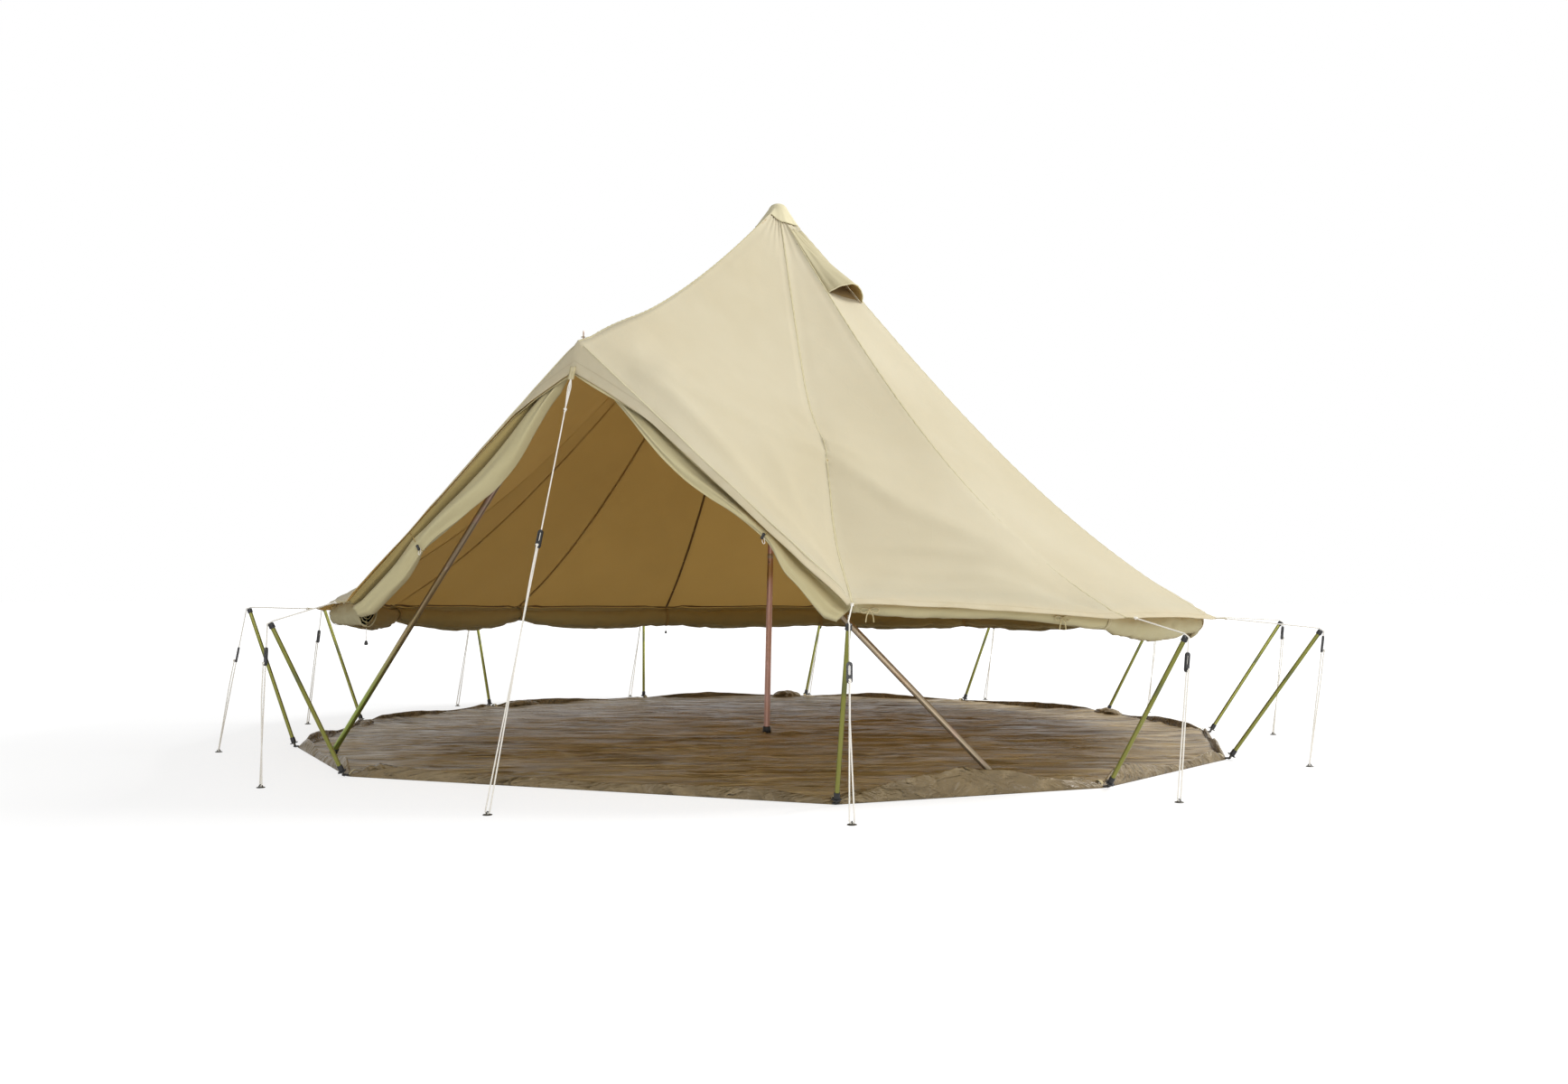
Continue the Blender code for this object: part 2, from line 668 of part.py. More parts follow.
def section_profile(length, radius, socket, spigot, foot):
    """Profile of one tube section, with a socket below or a foot plug, and a spigot above."""
    bore = radius - SPIGOT_WALL
    profile = []
    if foot:
        plug = radius + FOOT_PLUG_EXTRA
        profile += [(0, 0), (plug * 0.85, 0), (plug, 0.006), (plug, FOOT_PLUG_LENGTH),
                    (radius, FOOT_PLUG_LENGTH)]
    elif socket:
        depth = SPIGOT_LENGTH + 2 * GAP
        profile += [(0, depth), (bore, depth), (bore, 0), (radius, 0)]
    else:
        profile += [(0, 0), (radius, 0)]
    profile.append((radius, length))
    if spigot:
        pin = bore - SPIGOT_CLEARANCE
        profile += [(pin, length), (pin, length + SPIGOT_LENGTH - 0.004),
                    (pin - 0.003, length + SPIGOT_LENGTH), (0, length + SPIGOT_LENGTH)]
    return profile


def centre_pole_line():
    """Foot and head of the centre pole's axis."""
    head_rise = max(1.0 / grid_normal(c, 0.06).z for c in range(0, len(GRID), PANEL_COLUMNS))
    steepest = math.sqrt(head_rise ** 2 - 1)
    head = PEAK - Vector((0, 0, HEAD_FLAT_RADIUS * steepest + GAP))
    lean = math.atan2(PEAK_SHIFT.length, PEAK_HEIGHT)
    plug = (CENTRE_RADIUS + FOOT_PLUG_EXTRA) * 0.85
    foot = Vector((0, 0, SHEET + GAP + plug * math.sin(lean)))
    return foot, head


def build_centre_pole():
    """Centre pole of three sections that plug into each other."""
    foot, head = centre_pole_line()
    axis = (head - foot).normalized()
    total = (head - foot).length
    length = total / len(CENTRE_SECTIONS)
    for k, name in enumerate(CENTRE_SECTIONS):
        top_section = k == len(CENTRE_SECTIONS) - 1
        base = foot + axis * (length * k + (GAP if k else 0))
        tube = length - (GAP if k else 0)
        if top_section:
            profile = section_profile(tube - HEAD_TAPER, CENTRE_RADIUS, True, False, False)
            profile += [(HEAD_FLAT_RADIUS, tube), (0, tube)]
        else:
            profile = section_profile(tube, CENTRE_RADIUS, k > 0, True, k == 0)
        mesh = turned(profile, TUBE_SIDES, "centre_section")
        place("centre_pole_" + name, mesh, "bronze_tube", frame_at(base, axis, Vector((0, 1, 0))))


def ridge_over_hub():
    """Point of the ridge straight above the A-frame's hub."""
    near = grid_point(0, EAVE_ROW - 1)
    share = A_FRAME_SETBACK / (near.y - GABLE_APEX.y)
    return GABLE_APEX.lerp(near, share)


def hub_centre():
    """Middle of the A-frame's hub, clear of both gable panels."""
    steepest = min(grid_normal(0.5, EAVE_ROW - 0.1).z, grid_normal(-0.5, EAVE_ROW - 0.1).z)
    depth = (HUB_RADIUS + CANVAS + 2 * GAP) / steepest
    return ridge_over_hub() - Vector((0, 0, depth))


def a_foot(side):
    """Middle of a leg's foot plug, which rests on its lower edge."""
    flat = Vector((side * A_FOOT_HALF_SPREAD, -GABLE_FRONT + A_FOOT_SETBACK, 0))
    axis = (hub_centre() - flat).normalized()
    plug = (A_FRAME_RADIUS + FOOT_PLUG_EXTRA) * 0.85
    lift = plug * math.sqrt(1 - axis.z ** 2)
    return flat + Vector((0, 0, SHEET + GAP + lift))


def build_a_frame():
    """A-frame of a hub with two spigots and a pin, and two legs in two sections each."""
    hub = hub_centre()
    bore = A_FRAME_RADIUS - SPIGOT_WALL - SPIGOT_CLEARANCE
    sleeve = HUB_RADIUS + 0.016
    steps = []
    for side, name in ((1, "right"), (-1, "left")):
        foot = a_foot(side)
        axis = (hub - foot).normalized()
        total = (hub - foot).length - sleeve - GAP
        length = total / 2
        lower = turned(section_profile(length, A_FRAME_RADIUS, False, True, True), TUBE_SIDES, "leg")
        place("a_frame_%s_lower" % name, lower, "bronze_tube", frame_at(foot, axis, Vector((0, 1, 0))))
        profile = [(0, SPIGOT_LENGTH + 2 * GAP), (bore + SPIGOT_CLEARANCE, SPIGOT_LENGTH + 2 * GAP),
                   (bore + SPIGOT_CLEARANCE, 0), (A_FRAME_RADIUS, 0), (A_FRAME_RADIUS, length - GAP),
                   (bore + SPIGOT_CLEARANCE, length - GAP),
                   (bore + SPIGOT_CLEARANCE, length - SPIGOT_LENGTH - GAP),
                   (0, length - SPIGOT_LENGTH - GAP)]
        upper = turned(profile, TUBE_SIDES, "leg")
        place("a_frame_%s_upper" % name, upper, "bronze_tube",
              frame_at(foot + axis * (length + GAP), axis, Vector((0, 1, 0))))
        arm = turned([(0, 0), (HUB_RADIUS * 0.9, 0), (HUB_RADIUS * 0.9, sleeve),
                      (bore, sleeve), (bore, sleeve + SPIGOT_LENGTH - 3 * GAP), (0, sleeve + SPIGOT_LENGTH - 3 * GAP)],
                     TUBE_SIDES, "arm")
        steps.append(("UNION", arm, frame_at(hub, -axis, Vector((0, 1, 0)))))
    top = ridge_over_hub().z + PIN_REACH - hub.z
    pin = turned([(0, 0), (PIN_RADIUS, 0), (PIN_RADIUS, top - 0.006), (PIN_RADIUS * 0.4, top), (0, top)],
                 POLE_SIDES, "pin")
    steps.append(("UNION", pin, Matrix.Translation(hub)))
    ball = bmesh.new()
    bmesh.ops.create_uvsphere(ball, u_segments=TUBE_SIDES, v_segments=8, radius=HUB_RADIUS,
                              matrix=Matrix.Translation(hub))
    place("a_frame_hub", combined(finished(ball, "hub"), steps), "bronze_tube")


# Groundsheet

def sheet_edge(azimuth):
    """Distance from the middle to the sheet's straight-sided edge."""
    circle = FOOT_CIRCLE - SPIKE_CLEARANCE
    step = (2 * math.pi - DOOR_SPAN) / (SIDE_POLES - 1)
    turn = (azimuth - pole_azimuth(0)) % (2 * math.pi)
    if turn < 2 * math.pi - DOOR_SPAN:
        half = step / 2
        off = turn % step - half
    else:
        half = DOOR_SPAN / 2
        off = turn - (2 * math.pi - DOOR_SPAN) - half
    return circle * math.cos(half) / math.cos(off)


def rim_height(azimuth):
    """Height of the slack bucket wall, drawn down to the spikes at its corners."""
    step = (2 * math.pi - DOOR_SPAN) / (SIDE_POLES - 1)
    turn = (azimuth - pole_azimuth(0)) % (2 * math.pi)
    inside_ring = turn < 2 * math.pi - DOOR_SPAN
    phase = turn % step / step if inside_ring else (turn - (2 * math.pi - DOOR_SPAN)) / DOOR_SPAN
    height = RIM_HEIGHTS[min(int(turn / step), SIDE_POLES - 1)]
    fullness = min(1.0, 2.4 * math.sin(math.pi * phase) + 0.0)
    ruffle = RIM_RUFFLE * (math.sin(23 * azimuth) + math.sin(41 * azimuth + 1.0)) / 2
    return RIM_CORNER_HEIGHT + (height - RIM_CORNER_HEIGHT + ruffle) * fullness


def sheet_azimuths():
    """Columns of the groundsheet: each corner, and steps between corners."""
    columns = []
    for i in range(SIDE_POLES):
        start = pole_azimuth(i)
        last = i == SIDE_POLES - 1
        end = pole_azimuth(0) + 2 * math.pi if last else pole_azimuth(i + 1)
        count = 10 if last else 6
        columns += [start + (end - start) * k / count for k in range(count)]
    return columns


def build_groundsheet():
    """Groundsheet with its slack bucket wall round the edge."""
    shape = bmesh.new()
    rings = []
    azimuths = sheet_azimuths()
    for azimuth in azimuths:
        edge = sheet_edge(azimuth)
        height = rim_height(azimuth)
        ring = [(edge - 0.002, 0.0), (edge, 0.010), (edge - 0.004, height * 0.6)]
        ring += [(edge - 0.004 - RIM_TOP * 0.3, height), (edge - 0.004 - RIM_TOP, height)]
        ring += [(edge - RIM_BASE * 0.75, height * 0.5), (edge - RIM_BASE, SHEET)]
        ring += [(edge * 0.62, SHEET), (edge * 0.3, SHEET)]
        column = []
        for distance, z in ring:
            point = radial(azimuth) * distance
            column.append(shape.verts.new((point.x, point.y, z)))
        rings.append(column)
    top = shape.verts.new((0, 0, SHEET))
    bottom = shape.verts.new((0, 0, 0))
    for k, column in enumerate(rings):
        following = rings[(k + 1) % len(rings)]
        shape.faces.new((bottom, column[0], following[0]))
        for r in range(len(column) - 1):
            shape.faces.new((column[r], column[r + 1], following[r + 1], following[r]))
        shape.faces.new((column[-1], top, following[-1]))
    place("groundsheet", finished(shape, "groundsheet"), "groundsheet_cloth")


# Guy ropes

def side_anchor(i):
    """Where a side guy is anchored on the ground."""
    return radial(pole_azimuth(i)) * (FOOT_CIRCLE + PEG_REACH) + PEG_SHIFT


def front_anchor():
    """Where the gable's guy is anchored on the ground."""
    return Vector((0, -FRONT_PEG, 0))


def loop_level():
    """Height of the middle of the rope's turn round its anchor."""
    return ANCHOR_THICKNESS + ROPE_RADIUS + LOOP_HALF_WIDTH - 0.0005


def standing_line(start, anchor, outward):
    """Straight run of a rope down to its anchor, with the anchor's two sides."""
    along_ground = Vector((0, 0, 1)).cross(outward).normalized()
    level = Vector((0, 0, loop_level()))
    near = anchor + level - along_ground * LOOP_HALF_WIDTH
    far = anchor + level + along_ground * LOOP_HALF_WIDTH
    return start, near, far, along_ground


def over_pole(i):
    """Points of a side rope over the top of its pole, from the canopy outwards."""
    axis = pole_axis(i)
    out = radial(pole_azimuth(i))
    across = (out - axis * out.dot(axis)).normalized()
    top = pole_top(i)
    edge = top + across * CAP_RADIUS
    lift = (ROPE_RADIUS + 2 * GAP) / math.cos(math.radians(22.5))
    points = [top - across * CAP_RADIUS + axis * lift]
    for turn in (90, 45, 0):
        angle = math.radians(turn)
        points.append(edge + (across * math.cos(angle) + axis * math.sin(angle)) * lift)
    points.append(points[-1] - axis * 0.004)
    return points


def rope_lead(i):
    """Side rope from its tab to where its straight run starts."""
    root, outward = tab_root(i)
    start = root + outward * (TAB_REACH + GAP)
    return [start, start + outward * ROPE_RADIUS * 2] + over_pole(i)


def front_lead():
    """Gable rope from its tab; its straight run starts there."""
    root, outward = front_tab_root()
    return [root + outward * (TAB_REACH + GAP)]


def runner_frame(lead, anchor, outward, drop):
    """Matrix of a runner on its rope: Z up the rope, Y out through its slot."""
    start, near, far, along_ground = standing_line(lead[-1], anchor, outward)
    up = (start - near).normalized()
    centre = start - up * (drop + RUNNER_LENGTH / 2)
    return frame_at(centre, up, outward)


def rope_route(lead, anchor, outward, drop):
    """All points of a guy: lead, straight run, turn at the anchor, and back up to its knot."""
    start, near, far, along_ground = standing_line(lead[-1], anchor, outward)
    turn = []
    middle = (near + far) / 2
    for k in range(7):
        angle = math.pi * k / 6
        turn.append(middle - along_ground * LOOP_HALF_WIDTH * math.cos(angle)
                    - Vector((0, 0, LOOP_HALF_WIDTH * math.sin(angle))))
    runner = runner_frame(lead, anchor, outward, drop)
    stand_off = RUNNER_THICKNESS / 2 + GAP + KNOT_RADIUS
    low = runner @ Vector((0, stand_off, -RUNNER_LENGTH / 2 - RUNNER_SLACKEN - 0.03))
    knot = runner @ Vector((0, stand_off, -RUNNER_LENGTH / 2 + 0.008))
    return lead + turn + [low, knot]


def anchor_mesh(anchor, outward):
    """Flat base with a wire staple over the rope's turn."""
    base = turned([(0, 0), (ANCHOR_RADIUS, 0), (ANCHOR_RADIUS, ANCHOR_THICKNESS), (0, ANCHOR_THICKNESS)],
                  TUBE_SIDES, "anchor base")
    reach = ROPE_RADIUS + ANCHOR_WIRE + 0.0035
    arch = []
    for k in range(7):
        angle = math.pi * k / 6
        arch.append(Vector((0, -reach * math.cos(angle), ANCHOR_THICKNESS - 0.001 + reach * math.sin(angle))))
    staple = tube_mesh(arch, ANCHOR_WIRE, 1, "staple")
    joined = combined(base, [("UNION", staple, None)])
    joined.transform(frame_at(anchor, Vector((0, 0, 1)), outward))
    return joined


def build_rope(name, lead, anchor, outward, drop):
    """One guy rope with its knot, and the anchor that its loop is caught in."""
    route = rope_route(lead, anchor, outward, drop)
    rope = tube_mesh(route, ROPE_RADIUS, 2, name)
    knot = bmesh.new()
    bmesh.ops.create_icosphere(knot, subdivisions=1, radius=KNOT_RADIUS)
    steps = [("UNION", finished(knot, "knot"), Matrix.Translation(route[-1])),
             ("UNION", anchor_mesh(anchor, outward), None)]
    place(name, combined(rope, steps), "guy_rope")


def stadium(length, width, depth, name):
    """Flat bar with round ends, its length along Z and its depth along Y."""
    outline = []
    half = length / 2 - width / 2
    for k in range(8):
        angle = math.pi * k / 7
        outline.append((width / 2 * math.cos(angle), half + width / 2 * math.sin(angle)))
    outline += [(-x, -z) for x, z in outline]
    return lofted([[Vector((x, y, z)) for x, z in outline] for y in (-depth / 2, depth / 2)], name)


def runner_mesh():
    """Rope runner: a flat bar with a long slot, an end hole and the rope's bore."""
    body = stadium(RUNNER_LENGTH, RUNNER_WIDTH, RUNNER_THICKNESS, "runner")
    slot = stadium(RUNNER_LENGTH * 0.48, RUNNER_WIDTH * 0.42, RUNNER_THICKNESS * 2, "slot")
    bore = turned([(0, -RUNNER_LENGTH), (RUNNER_BORE, -RUNNER_LENGTH), (RUNNER_BORE, RUNNER_LENGTH),
                   (0, RUNNER_LENGTH)], POLE_SIDES, "bore")
    return combined(body, [
        ("DIFFERENCE", slot, Matrix.Translation((0, 0, RUNNER_LENGTH * 0.11))),
        ("DIFFERENCE", bore, None),
    ])


def build_guys():
    """Every guy rope with its runner."""
    mesh = runner_mesh()
    jobs = []
    for i in range(SIDE_POLES):
        out = radial(pole_azimuth(i))
        jobs.append(("%02d" % (i + 1), rope_lead(i), side_anchor(i), out, RUNNER_DROPS[i]))
    jobs.append(("front", front_lead(), front_anchor(), Vector((0, -1, 0)), FRONT_RUNNER_DROP))
    for tag, lead, anchor, out, drop in jobs:
        build_rope("guy_rope_" + tag, lead, anchor, out, drop)
        place("rope_runner_" + tag, mesh, "black_plastic", runner_frame(lead, anchor, out, drop))


# Toggles

def toggle_profile(length, radius):
    """Barrel with bevelled ends, spun about its length."""
    half = length / 2
    return [(0, -half), (radius * 0.7, -half), (radius, -half * 0.6),
            (radius, half * 0.6), (radius * 0.7, half), (0, half)]


def build_door_toggle(name, side):
    """Toggle that holds a gathered door flap, lying across its lower edge."""
    ring = door_roll_ring(DOOR_TIE_COLUMN, side)
    lowest = ring[ROLL_SIDES // 2]
    corner = eave_corner(0 if side > 0 else SIDE_POLES - 1)
    edge = (corner - GABLE_APEX).normalized()
    down = (lowest - ring[0]).normalized()
    centre = lowest + down * (TOGGLE_RADIUS + GAP)
    mesh = turned(toggle_profile(TOGGLE_LENGTH, TOGGLE_RADIUS), POLE_SIDES, "toggle")
    place("door_toggle_" + name, mesh, "black_plastic", frame_at(centre, Vector((0, 1, 0)), edge))


def build_hanging_toggle(name, column):
    """Spare toggle that hangs on its cord under the rolled wall."""
    ring = roll_ring(column)
    hang = ring[ROLL_SIDES // 2] - Vector((0, 0, GAP))
    size = TOGGLE_RADIUS * 1.3
    profile = [(0, 0), (TOGGLE_CORD_RADIUS, -TOGGLE_CORD_RADIUS * 2),
               (TOGGLE_CORD_RADIUS, -TOGGLE_CORD_LENGTH),
               (size, -TOGGLE_CORD_LENGTH - size * 1.6), (size * 0.8, -TOGGLE_CORD_LENGTH - size * 2.4),
               (0, -TOGGLE_CORD_LENGTH - size * 2.4)]
    place("hanging_toggle_" + name, turned(profile, POLE_SIDES, "hanging"), "black_plastic",
          Matrix.Translation(hang))


def main():
    for leftover in list(bpy.data.objects):
        bpy.data.objects.remove(leftover, do_unlink=True)
    build_canopy()
    build_peak_cap()
    panels = {"right": 1, "back": (SIDE_POLES - 1) // 2, "left": SIDE_POLES - 3}
    for name in VENTS:
        build_vent_hood(name, panels[name])
    build_wall_roll()
    for name, side in (("right", 1), ("left", -1)):
        build_door_roll(name, side)
        build_door_toggle(name, side)
    build_side_poles()
    build_centre_pole()
    build_a_frame()
    build_groundsheet()
    build_guys()
    back = FIRST_CORNER + PANEL_COLUMNS * (SIDE_POLES // 2 + 1)
    for name, column in (("right", FIRST_CORNER), ("back", back), ("left", LAST_CORNER)):
        build_hanging_toggle(name, column)


main()
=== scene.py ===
"""Looks of a canvas bell tent, pitched with its walls rolled up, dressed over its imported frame.

Metres, +Z up, the doorway faces -Y. The cloth hangs on the same seams as the frame's solids,
so the sizes below are those of the tent itself.
"""

import math

import bmesh
import bpy
from mathutils import Matrix, Vector, noise


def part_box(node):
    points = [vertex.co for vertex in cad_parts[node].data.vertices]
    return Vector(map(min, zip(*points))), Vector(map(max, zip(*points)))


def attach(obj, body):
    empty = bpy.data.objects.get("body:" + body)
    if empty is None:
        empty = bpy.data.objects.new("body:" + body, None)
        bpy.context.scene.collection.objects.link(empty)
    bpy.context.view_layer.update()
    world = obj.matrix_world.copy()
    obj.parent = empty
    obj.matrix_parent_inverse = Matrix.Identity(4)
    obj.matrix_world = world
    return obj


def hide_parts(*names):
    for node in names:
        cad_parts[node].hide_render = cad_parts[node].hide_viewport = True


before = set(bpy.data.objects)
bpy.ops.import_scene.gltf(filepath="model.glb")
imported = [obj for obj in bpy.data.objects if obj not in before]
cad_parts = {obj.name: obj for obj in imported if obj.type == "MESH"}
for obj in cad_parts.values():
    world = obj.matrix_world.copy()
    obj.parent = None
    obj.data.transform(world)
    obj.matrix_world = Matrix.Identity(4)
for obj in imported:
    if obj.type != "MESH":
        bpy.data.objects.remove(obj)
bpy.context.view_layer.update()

UP = Vector((0, 0, 1))
BACK = Vector((0, 1, 0))         # from the doorway into the tent
FRONT = -BACK
SIDES = ((1, "right"), (-1, "left"))

# Ring of side poles
SIDE_POLES = 12
FOOT_CIRCLE = 2.50
DOOR_SPAN = math.radians(53.2)
POLE_STEP = (2 * math.pi - DOOR_SPAN) / (SIDE_POLES - 1)
POLE_LENGTH = 0.75
POLE_LEANS = (23.0, 32.5, 34.0, 33.5, 31.0, 29.0, 26.0, 22.5, 20.0, 21.0, 18.0, 26.5)

# Roof
PEAK_SHIFT = Vector((0.06, 0.02, 0.0))
EAVE_FOLLOW = 0.55
EAVE_REACHES = (2.57, 2.42, 2.43, 2.42, 2.42, 2.42, 2.42, 2.42, 2.44, 2.44)
EAVE_SHIFTS = (0.0, 0.0, 0.0, -0.05, -0.08, -0.11, -0.08, -0.05, 0.0, 0.0)
EAVE_HEIGHTS = (0.70, 0.675, 0.66, 0.64, 0.63, 0.63, 0.63, 0.64, 0.66, 0.715)
ROOF_SAG = 0.205
RIDGE_SAG = 0.092
SEAM_BOW = 0.072                 # how far the seam right of the doorway is drawn towards it
PANEL_HOLLOW = 0.02
DOOR_CORNER = (1.18, 0.76)       # half width and height
HEM_SHARE = 0.015
VALANCE_DEPTH = 0.135
VALANCE_TAPER = (0.30, 0.26)     # shares of the gable's edge, right and left, where the triangle runs out
GABLE_STRIP = (0.052, 0.028)     # the strip beyond it on the right, at the ridge and at the corner
LEFT_STRIP = 0.012
VALANCE_FLARE = 0.35
COLLAR_SHARE = 0.02
CAP_SHARE = 0.05
PEAK = PEAK_SHIFT + UP * 3.00
GABLE_FRONT = 2.215
GABLE_APEX = Vector((0, -GABLE_FRONT, 1.84))
SEAM_LENGTH = 3.36               # of a side seam, from the peak to the eave
CLOTH = 0.0022                   # canvas with the coats of proofing, as one sheet
INSIDE = CLOTH + 0.0012          # how far under the roof's outer face the tapes inside lie

# Facets of the roof sheet
ROOF_ROWS = 120
HEM_ROWS = 6
FRONT_STEPS = 48
SIDE_STEPS = 20

# Strips sewn along the seams: half widths, and sections as (share of it, height)
SEAM_TAPE_HALF = 0.0065
SEAM_TAPE_SECTION = ((-1.0, -0.0004), (-0.85, 0.0006), (0.0, 0.0009), (0.85, 0.0006), (1.0, -0.0004))
INSIDE_TAPE_HALF = 0.008
INSIDE_TAPE_SECTION = ((-1.0, 0.0), (0.0, -0.0016), (1.0, 0.0))

# Peak cap: its crown as (radius, height), then its straight skirt
CROWN = ((0.004, 3.0085), (0.014, 3.0080), (0.026, 3.0055), (0.038, 2.999), (0.048, 2.988), (0.056, 2.973))
CAP_AROUND = 120
CAP_PUCKERS = 26

# Vent hoods
VENTS = (("right", 2), ("back", 6), ("left", 10))   # each with its panel
VENT_TOP = 0.065                 # share of the way down the roof where a hood starts
VENT_RUN = 0.160                 # and how far down it reaches
VENT_LIFT = 0.098                # height of its open lip

# Rolled walls and door flaps
ROLL_INSET = 0.120
ROLL_DROPS = (0.082, 0.150, 0.150, 0.150, 0.150, 0.150, 0.150, 0.150, 0.150, 0.145, 0.138)
TIE_DROPS = (0.070, 0.088, 0.100, 0.100, 0.100, 0.125, 0.125, 0.120, 0.080, 0.080, 0.120, 0.148)
ROLL_OUTER = 0.035
ROLL_INNER = 0.075
ROLL_TURNS = 3.6
ROLL_POINTS = 72                 # round the whole spiral
ROLL_STEPS = 28                  # along each panel
PANEL_SPAN = 1.29                # length of one side panel's eave
BOW_PLACES = (0.07, 0.80)        # where the ties' bows show, in panels from the doorway's right-hand pole
# Depth of each door flap at its top, its upper fold, its toggle, its lower fold and its end
FLAP_DROPS = {1: (0.075, 0.115, 0.058, 0.105, 0.120), -1: (0.080, 0.160, 0.105, 0.130, 0.120)}
FLAP_STATIONS = (0.117, 0.42, 0.725, 0.85, 0.985)
FLAP_TIE = FLAP_STATIONS[2]
FLAP_REACH = {1: 0.054, -1: 0.062}
FLAP_STEPS = 120
FLAP_FINE = 6                    # points on each fold's curve between two of its knots
# Sections of the gathered flaps, right and left: shares of the depth, and how far in as shares of the reach
FLAP_SECTION = {
    1: ((0.00, 0.04), (0.12, 0.55), (0.26, 0.98), (0.42, 0.92), (0.53, 0.30), (0.64, -0.08), (0.78, -0.22),
        (0.91, -0.14), (1.00, 0.14), (0.96, 0.46), (0.86, 0.76), (0.74, 0.84), (0.61, 1.12), (0.46, 1.32),
        (0.27, 1.42), (0.09, 0.92)),
    -1: ((0.00, 0.04), (0.10, 0.10), (0.18, 0.30), (0.24, 0.90), (0.30, 0.30), (0.46, -0.10), (0.66, -0.26),
         (0.88, -0.16), (1.00, 0.16), (0.96, 0.50), (0.84, 0.80), (0.70, 0.82), (0.58, 1.10), (0.42, 1.30),
         (0.24, 1.50), (0.08, 0.95)),
}

# Tubes: radius, height of a swaged ring over it, the rubber boot's profile and the spring button's
CENTRE_TUBE = (0.017, 0.0008,
               ((0, -0.0002), (0.0205, -0.0002), (0.0232, 0.004), (0.0225, 0.030), (0.0192, 0.036),
                (0.0172, 0.0365)),
               ((0, 0), (0.0035, 0), (0.0032, 0.0022), (0.0018, 0.0032), (0, 0.0034)))
LEG_TUBE = (0.014, 0.0007,
            ((0, -0.0002), (0.0160, -0.0002), (0.0193, 0.003), (0.0188, 0.029), (0.0160, 0.034),
             (0.0142, 0.0345)),
            ((0, 0), (0.0032, 0), (0.0030, 0.002), (0.0016, 0.003), (0, 0.0032)))
CENTRE_FOOT = Vector((0, 0, 0.0037))
CENTRE_HEAD = Vector((0.06, 0.02, 2.9927))
HUB = Vector((0.0012, -2.17, 1.8290))
HUB_SLEEVE = 0.0318              # from the hub's middle to a leg's end
LEG_FOOT = (1.649, -1.647, 0.0144)
BUTTON_BELOW_JOINT = 0.035

# Groundsheet
SHEET_INSET = 0.010              # from the circle of pole feet in to the sheet's corners
# Height of the slack wall in each side panel from the doorway's right round, then the doorway
WALL_HEIGHTS = (0.112, 0.062, 0.052, 0.045, 0.042, 0.042, 0.042, 0.042, 0.045, 0.050, 0.058, 0.046)
WALL_FOOT = 0.014                # height of the wall at a corner
WALL_TOP_PLACE = 0.45            # where the first panel's wall stands highest
# The wall's section: outward shift, share of the wall's height, and share of its lean
WALL_SECTION = ((-0.002, 0.0, 0.0), (0.0, 0.05, 0.0), (0.000, 0.30, 0.1), (-0.004, 0.55, 0.3),
                (-0.008, 0.80, 0.7), (-0.010, 0.96, 1.0), (-0.014, 1.0, 1.0), (-0.018, 0.97, 1.0),
                (-0.020, 0.75, 0.8), (-0.022, 0.45, 0.4), (-0.028, 0.16, 0.1))
SHEET_AROUND = 640
WRINKLE_TURN = math.radians(19.8)
# Crumpled slack by some corners: corner, start and end along the edge (below 0: back along it), thickness
BUNCHES = ((0, 0.03, 0.20, 0.016), (1, -0.22, -0.03, 0.020), (4, -0.30, -0.02, 0.024), (6, 0.04, 0.26, 0.028),
           (8, -0.34, -0.05, 0.020), (9, 0.05, 0.30, 0.018), (11, 0.03, 0.24, 0.024), (11, 0.10, 0.36, 0.018))

# Ropes
ROPE_RADIUS = 0.00275
PEG_CIRCLE = 2.83
PEG_SHIFT = Vector((0.03, -0.085, 0.0))
FRONT_PEG = Vector((0, -2.87, 0))
RUNNER_DROPS = (0.125, 0.050, 0.014, 0.012, 0.060, 0.050, 0.080, 0.050, 0.060, 0.130, 0.190, 0.090)
FRONT_RUNNER_DROP = 0.660
FRONT_LEAD = 0.25                # part of the front rope that is counted to its lead
RUNNER_LENGTH = 0.077
RUNNER_THICKNESS = 0.009
GAP = 0.0003                     # between a rope and the tab or the runner beside it
KNOT_RADIUS = 0.0055
DOUBLED_BELOW = 0.13             # from a runner down to where the rope's end leaves the rope
LOOP_HALF_WIDTH = 0.009
CAP_RADIUS = 0.0125
TAB_WIDTH = 0.026
TAB_LENGTH = 0.060
TAB_REACH = 0.040
HEM_UNDER = UP * 0.0025          # from an eave corner down to the middle of its tab

# Camera, at the photograph's place and angle
CAMERA_PLACE = (2.653, -7.069, 0.822)
CAMERA_AZIMUTH = math.radians(109.83)
CAMERA_PITCH = math.radians(1.95)
CAMERA_LENS = 30.63

# Lamps: name, place, what it points at, size and watts
LAMPS = (("overhead", (6.8, 3.4, 8.4), (0, 0, 1.2), 3.5, 960.0),
         ("front", (4.5, -9.5, 3.6), (0, 0, 0.8), 3.0, 330.0))


# Short sums

def clamp(value):
    """Hold a value between 0 and 1."""
    return max(0.0, min(1.0, value))


def bell(value, width):
    """A smooth hump: 1 where the value is 0, fading over the width."""
    return math.exp(-((value / width) ** 2))


def ripple(x, y, seed, size):
    """Smooth noise of about -1 to 1 with features of a size in metres."""
    return noise.noise(Vector((x / size, y / size, seed * 7.31)))


def noise_at(x, y, z):
    """Smooth noise of about -1 to 1 at a place."""
    return noise.noise(Vector((x, y, z)))


def angles(count):
    """Angles evenly round a circle."""
    return [2 * math.pi * k / count for k in range(count)]


# Colours and materials

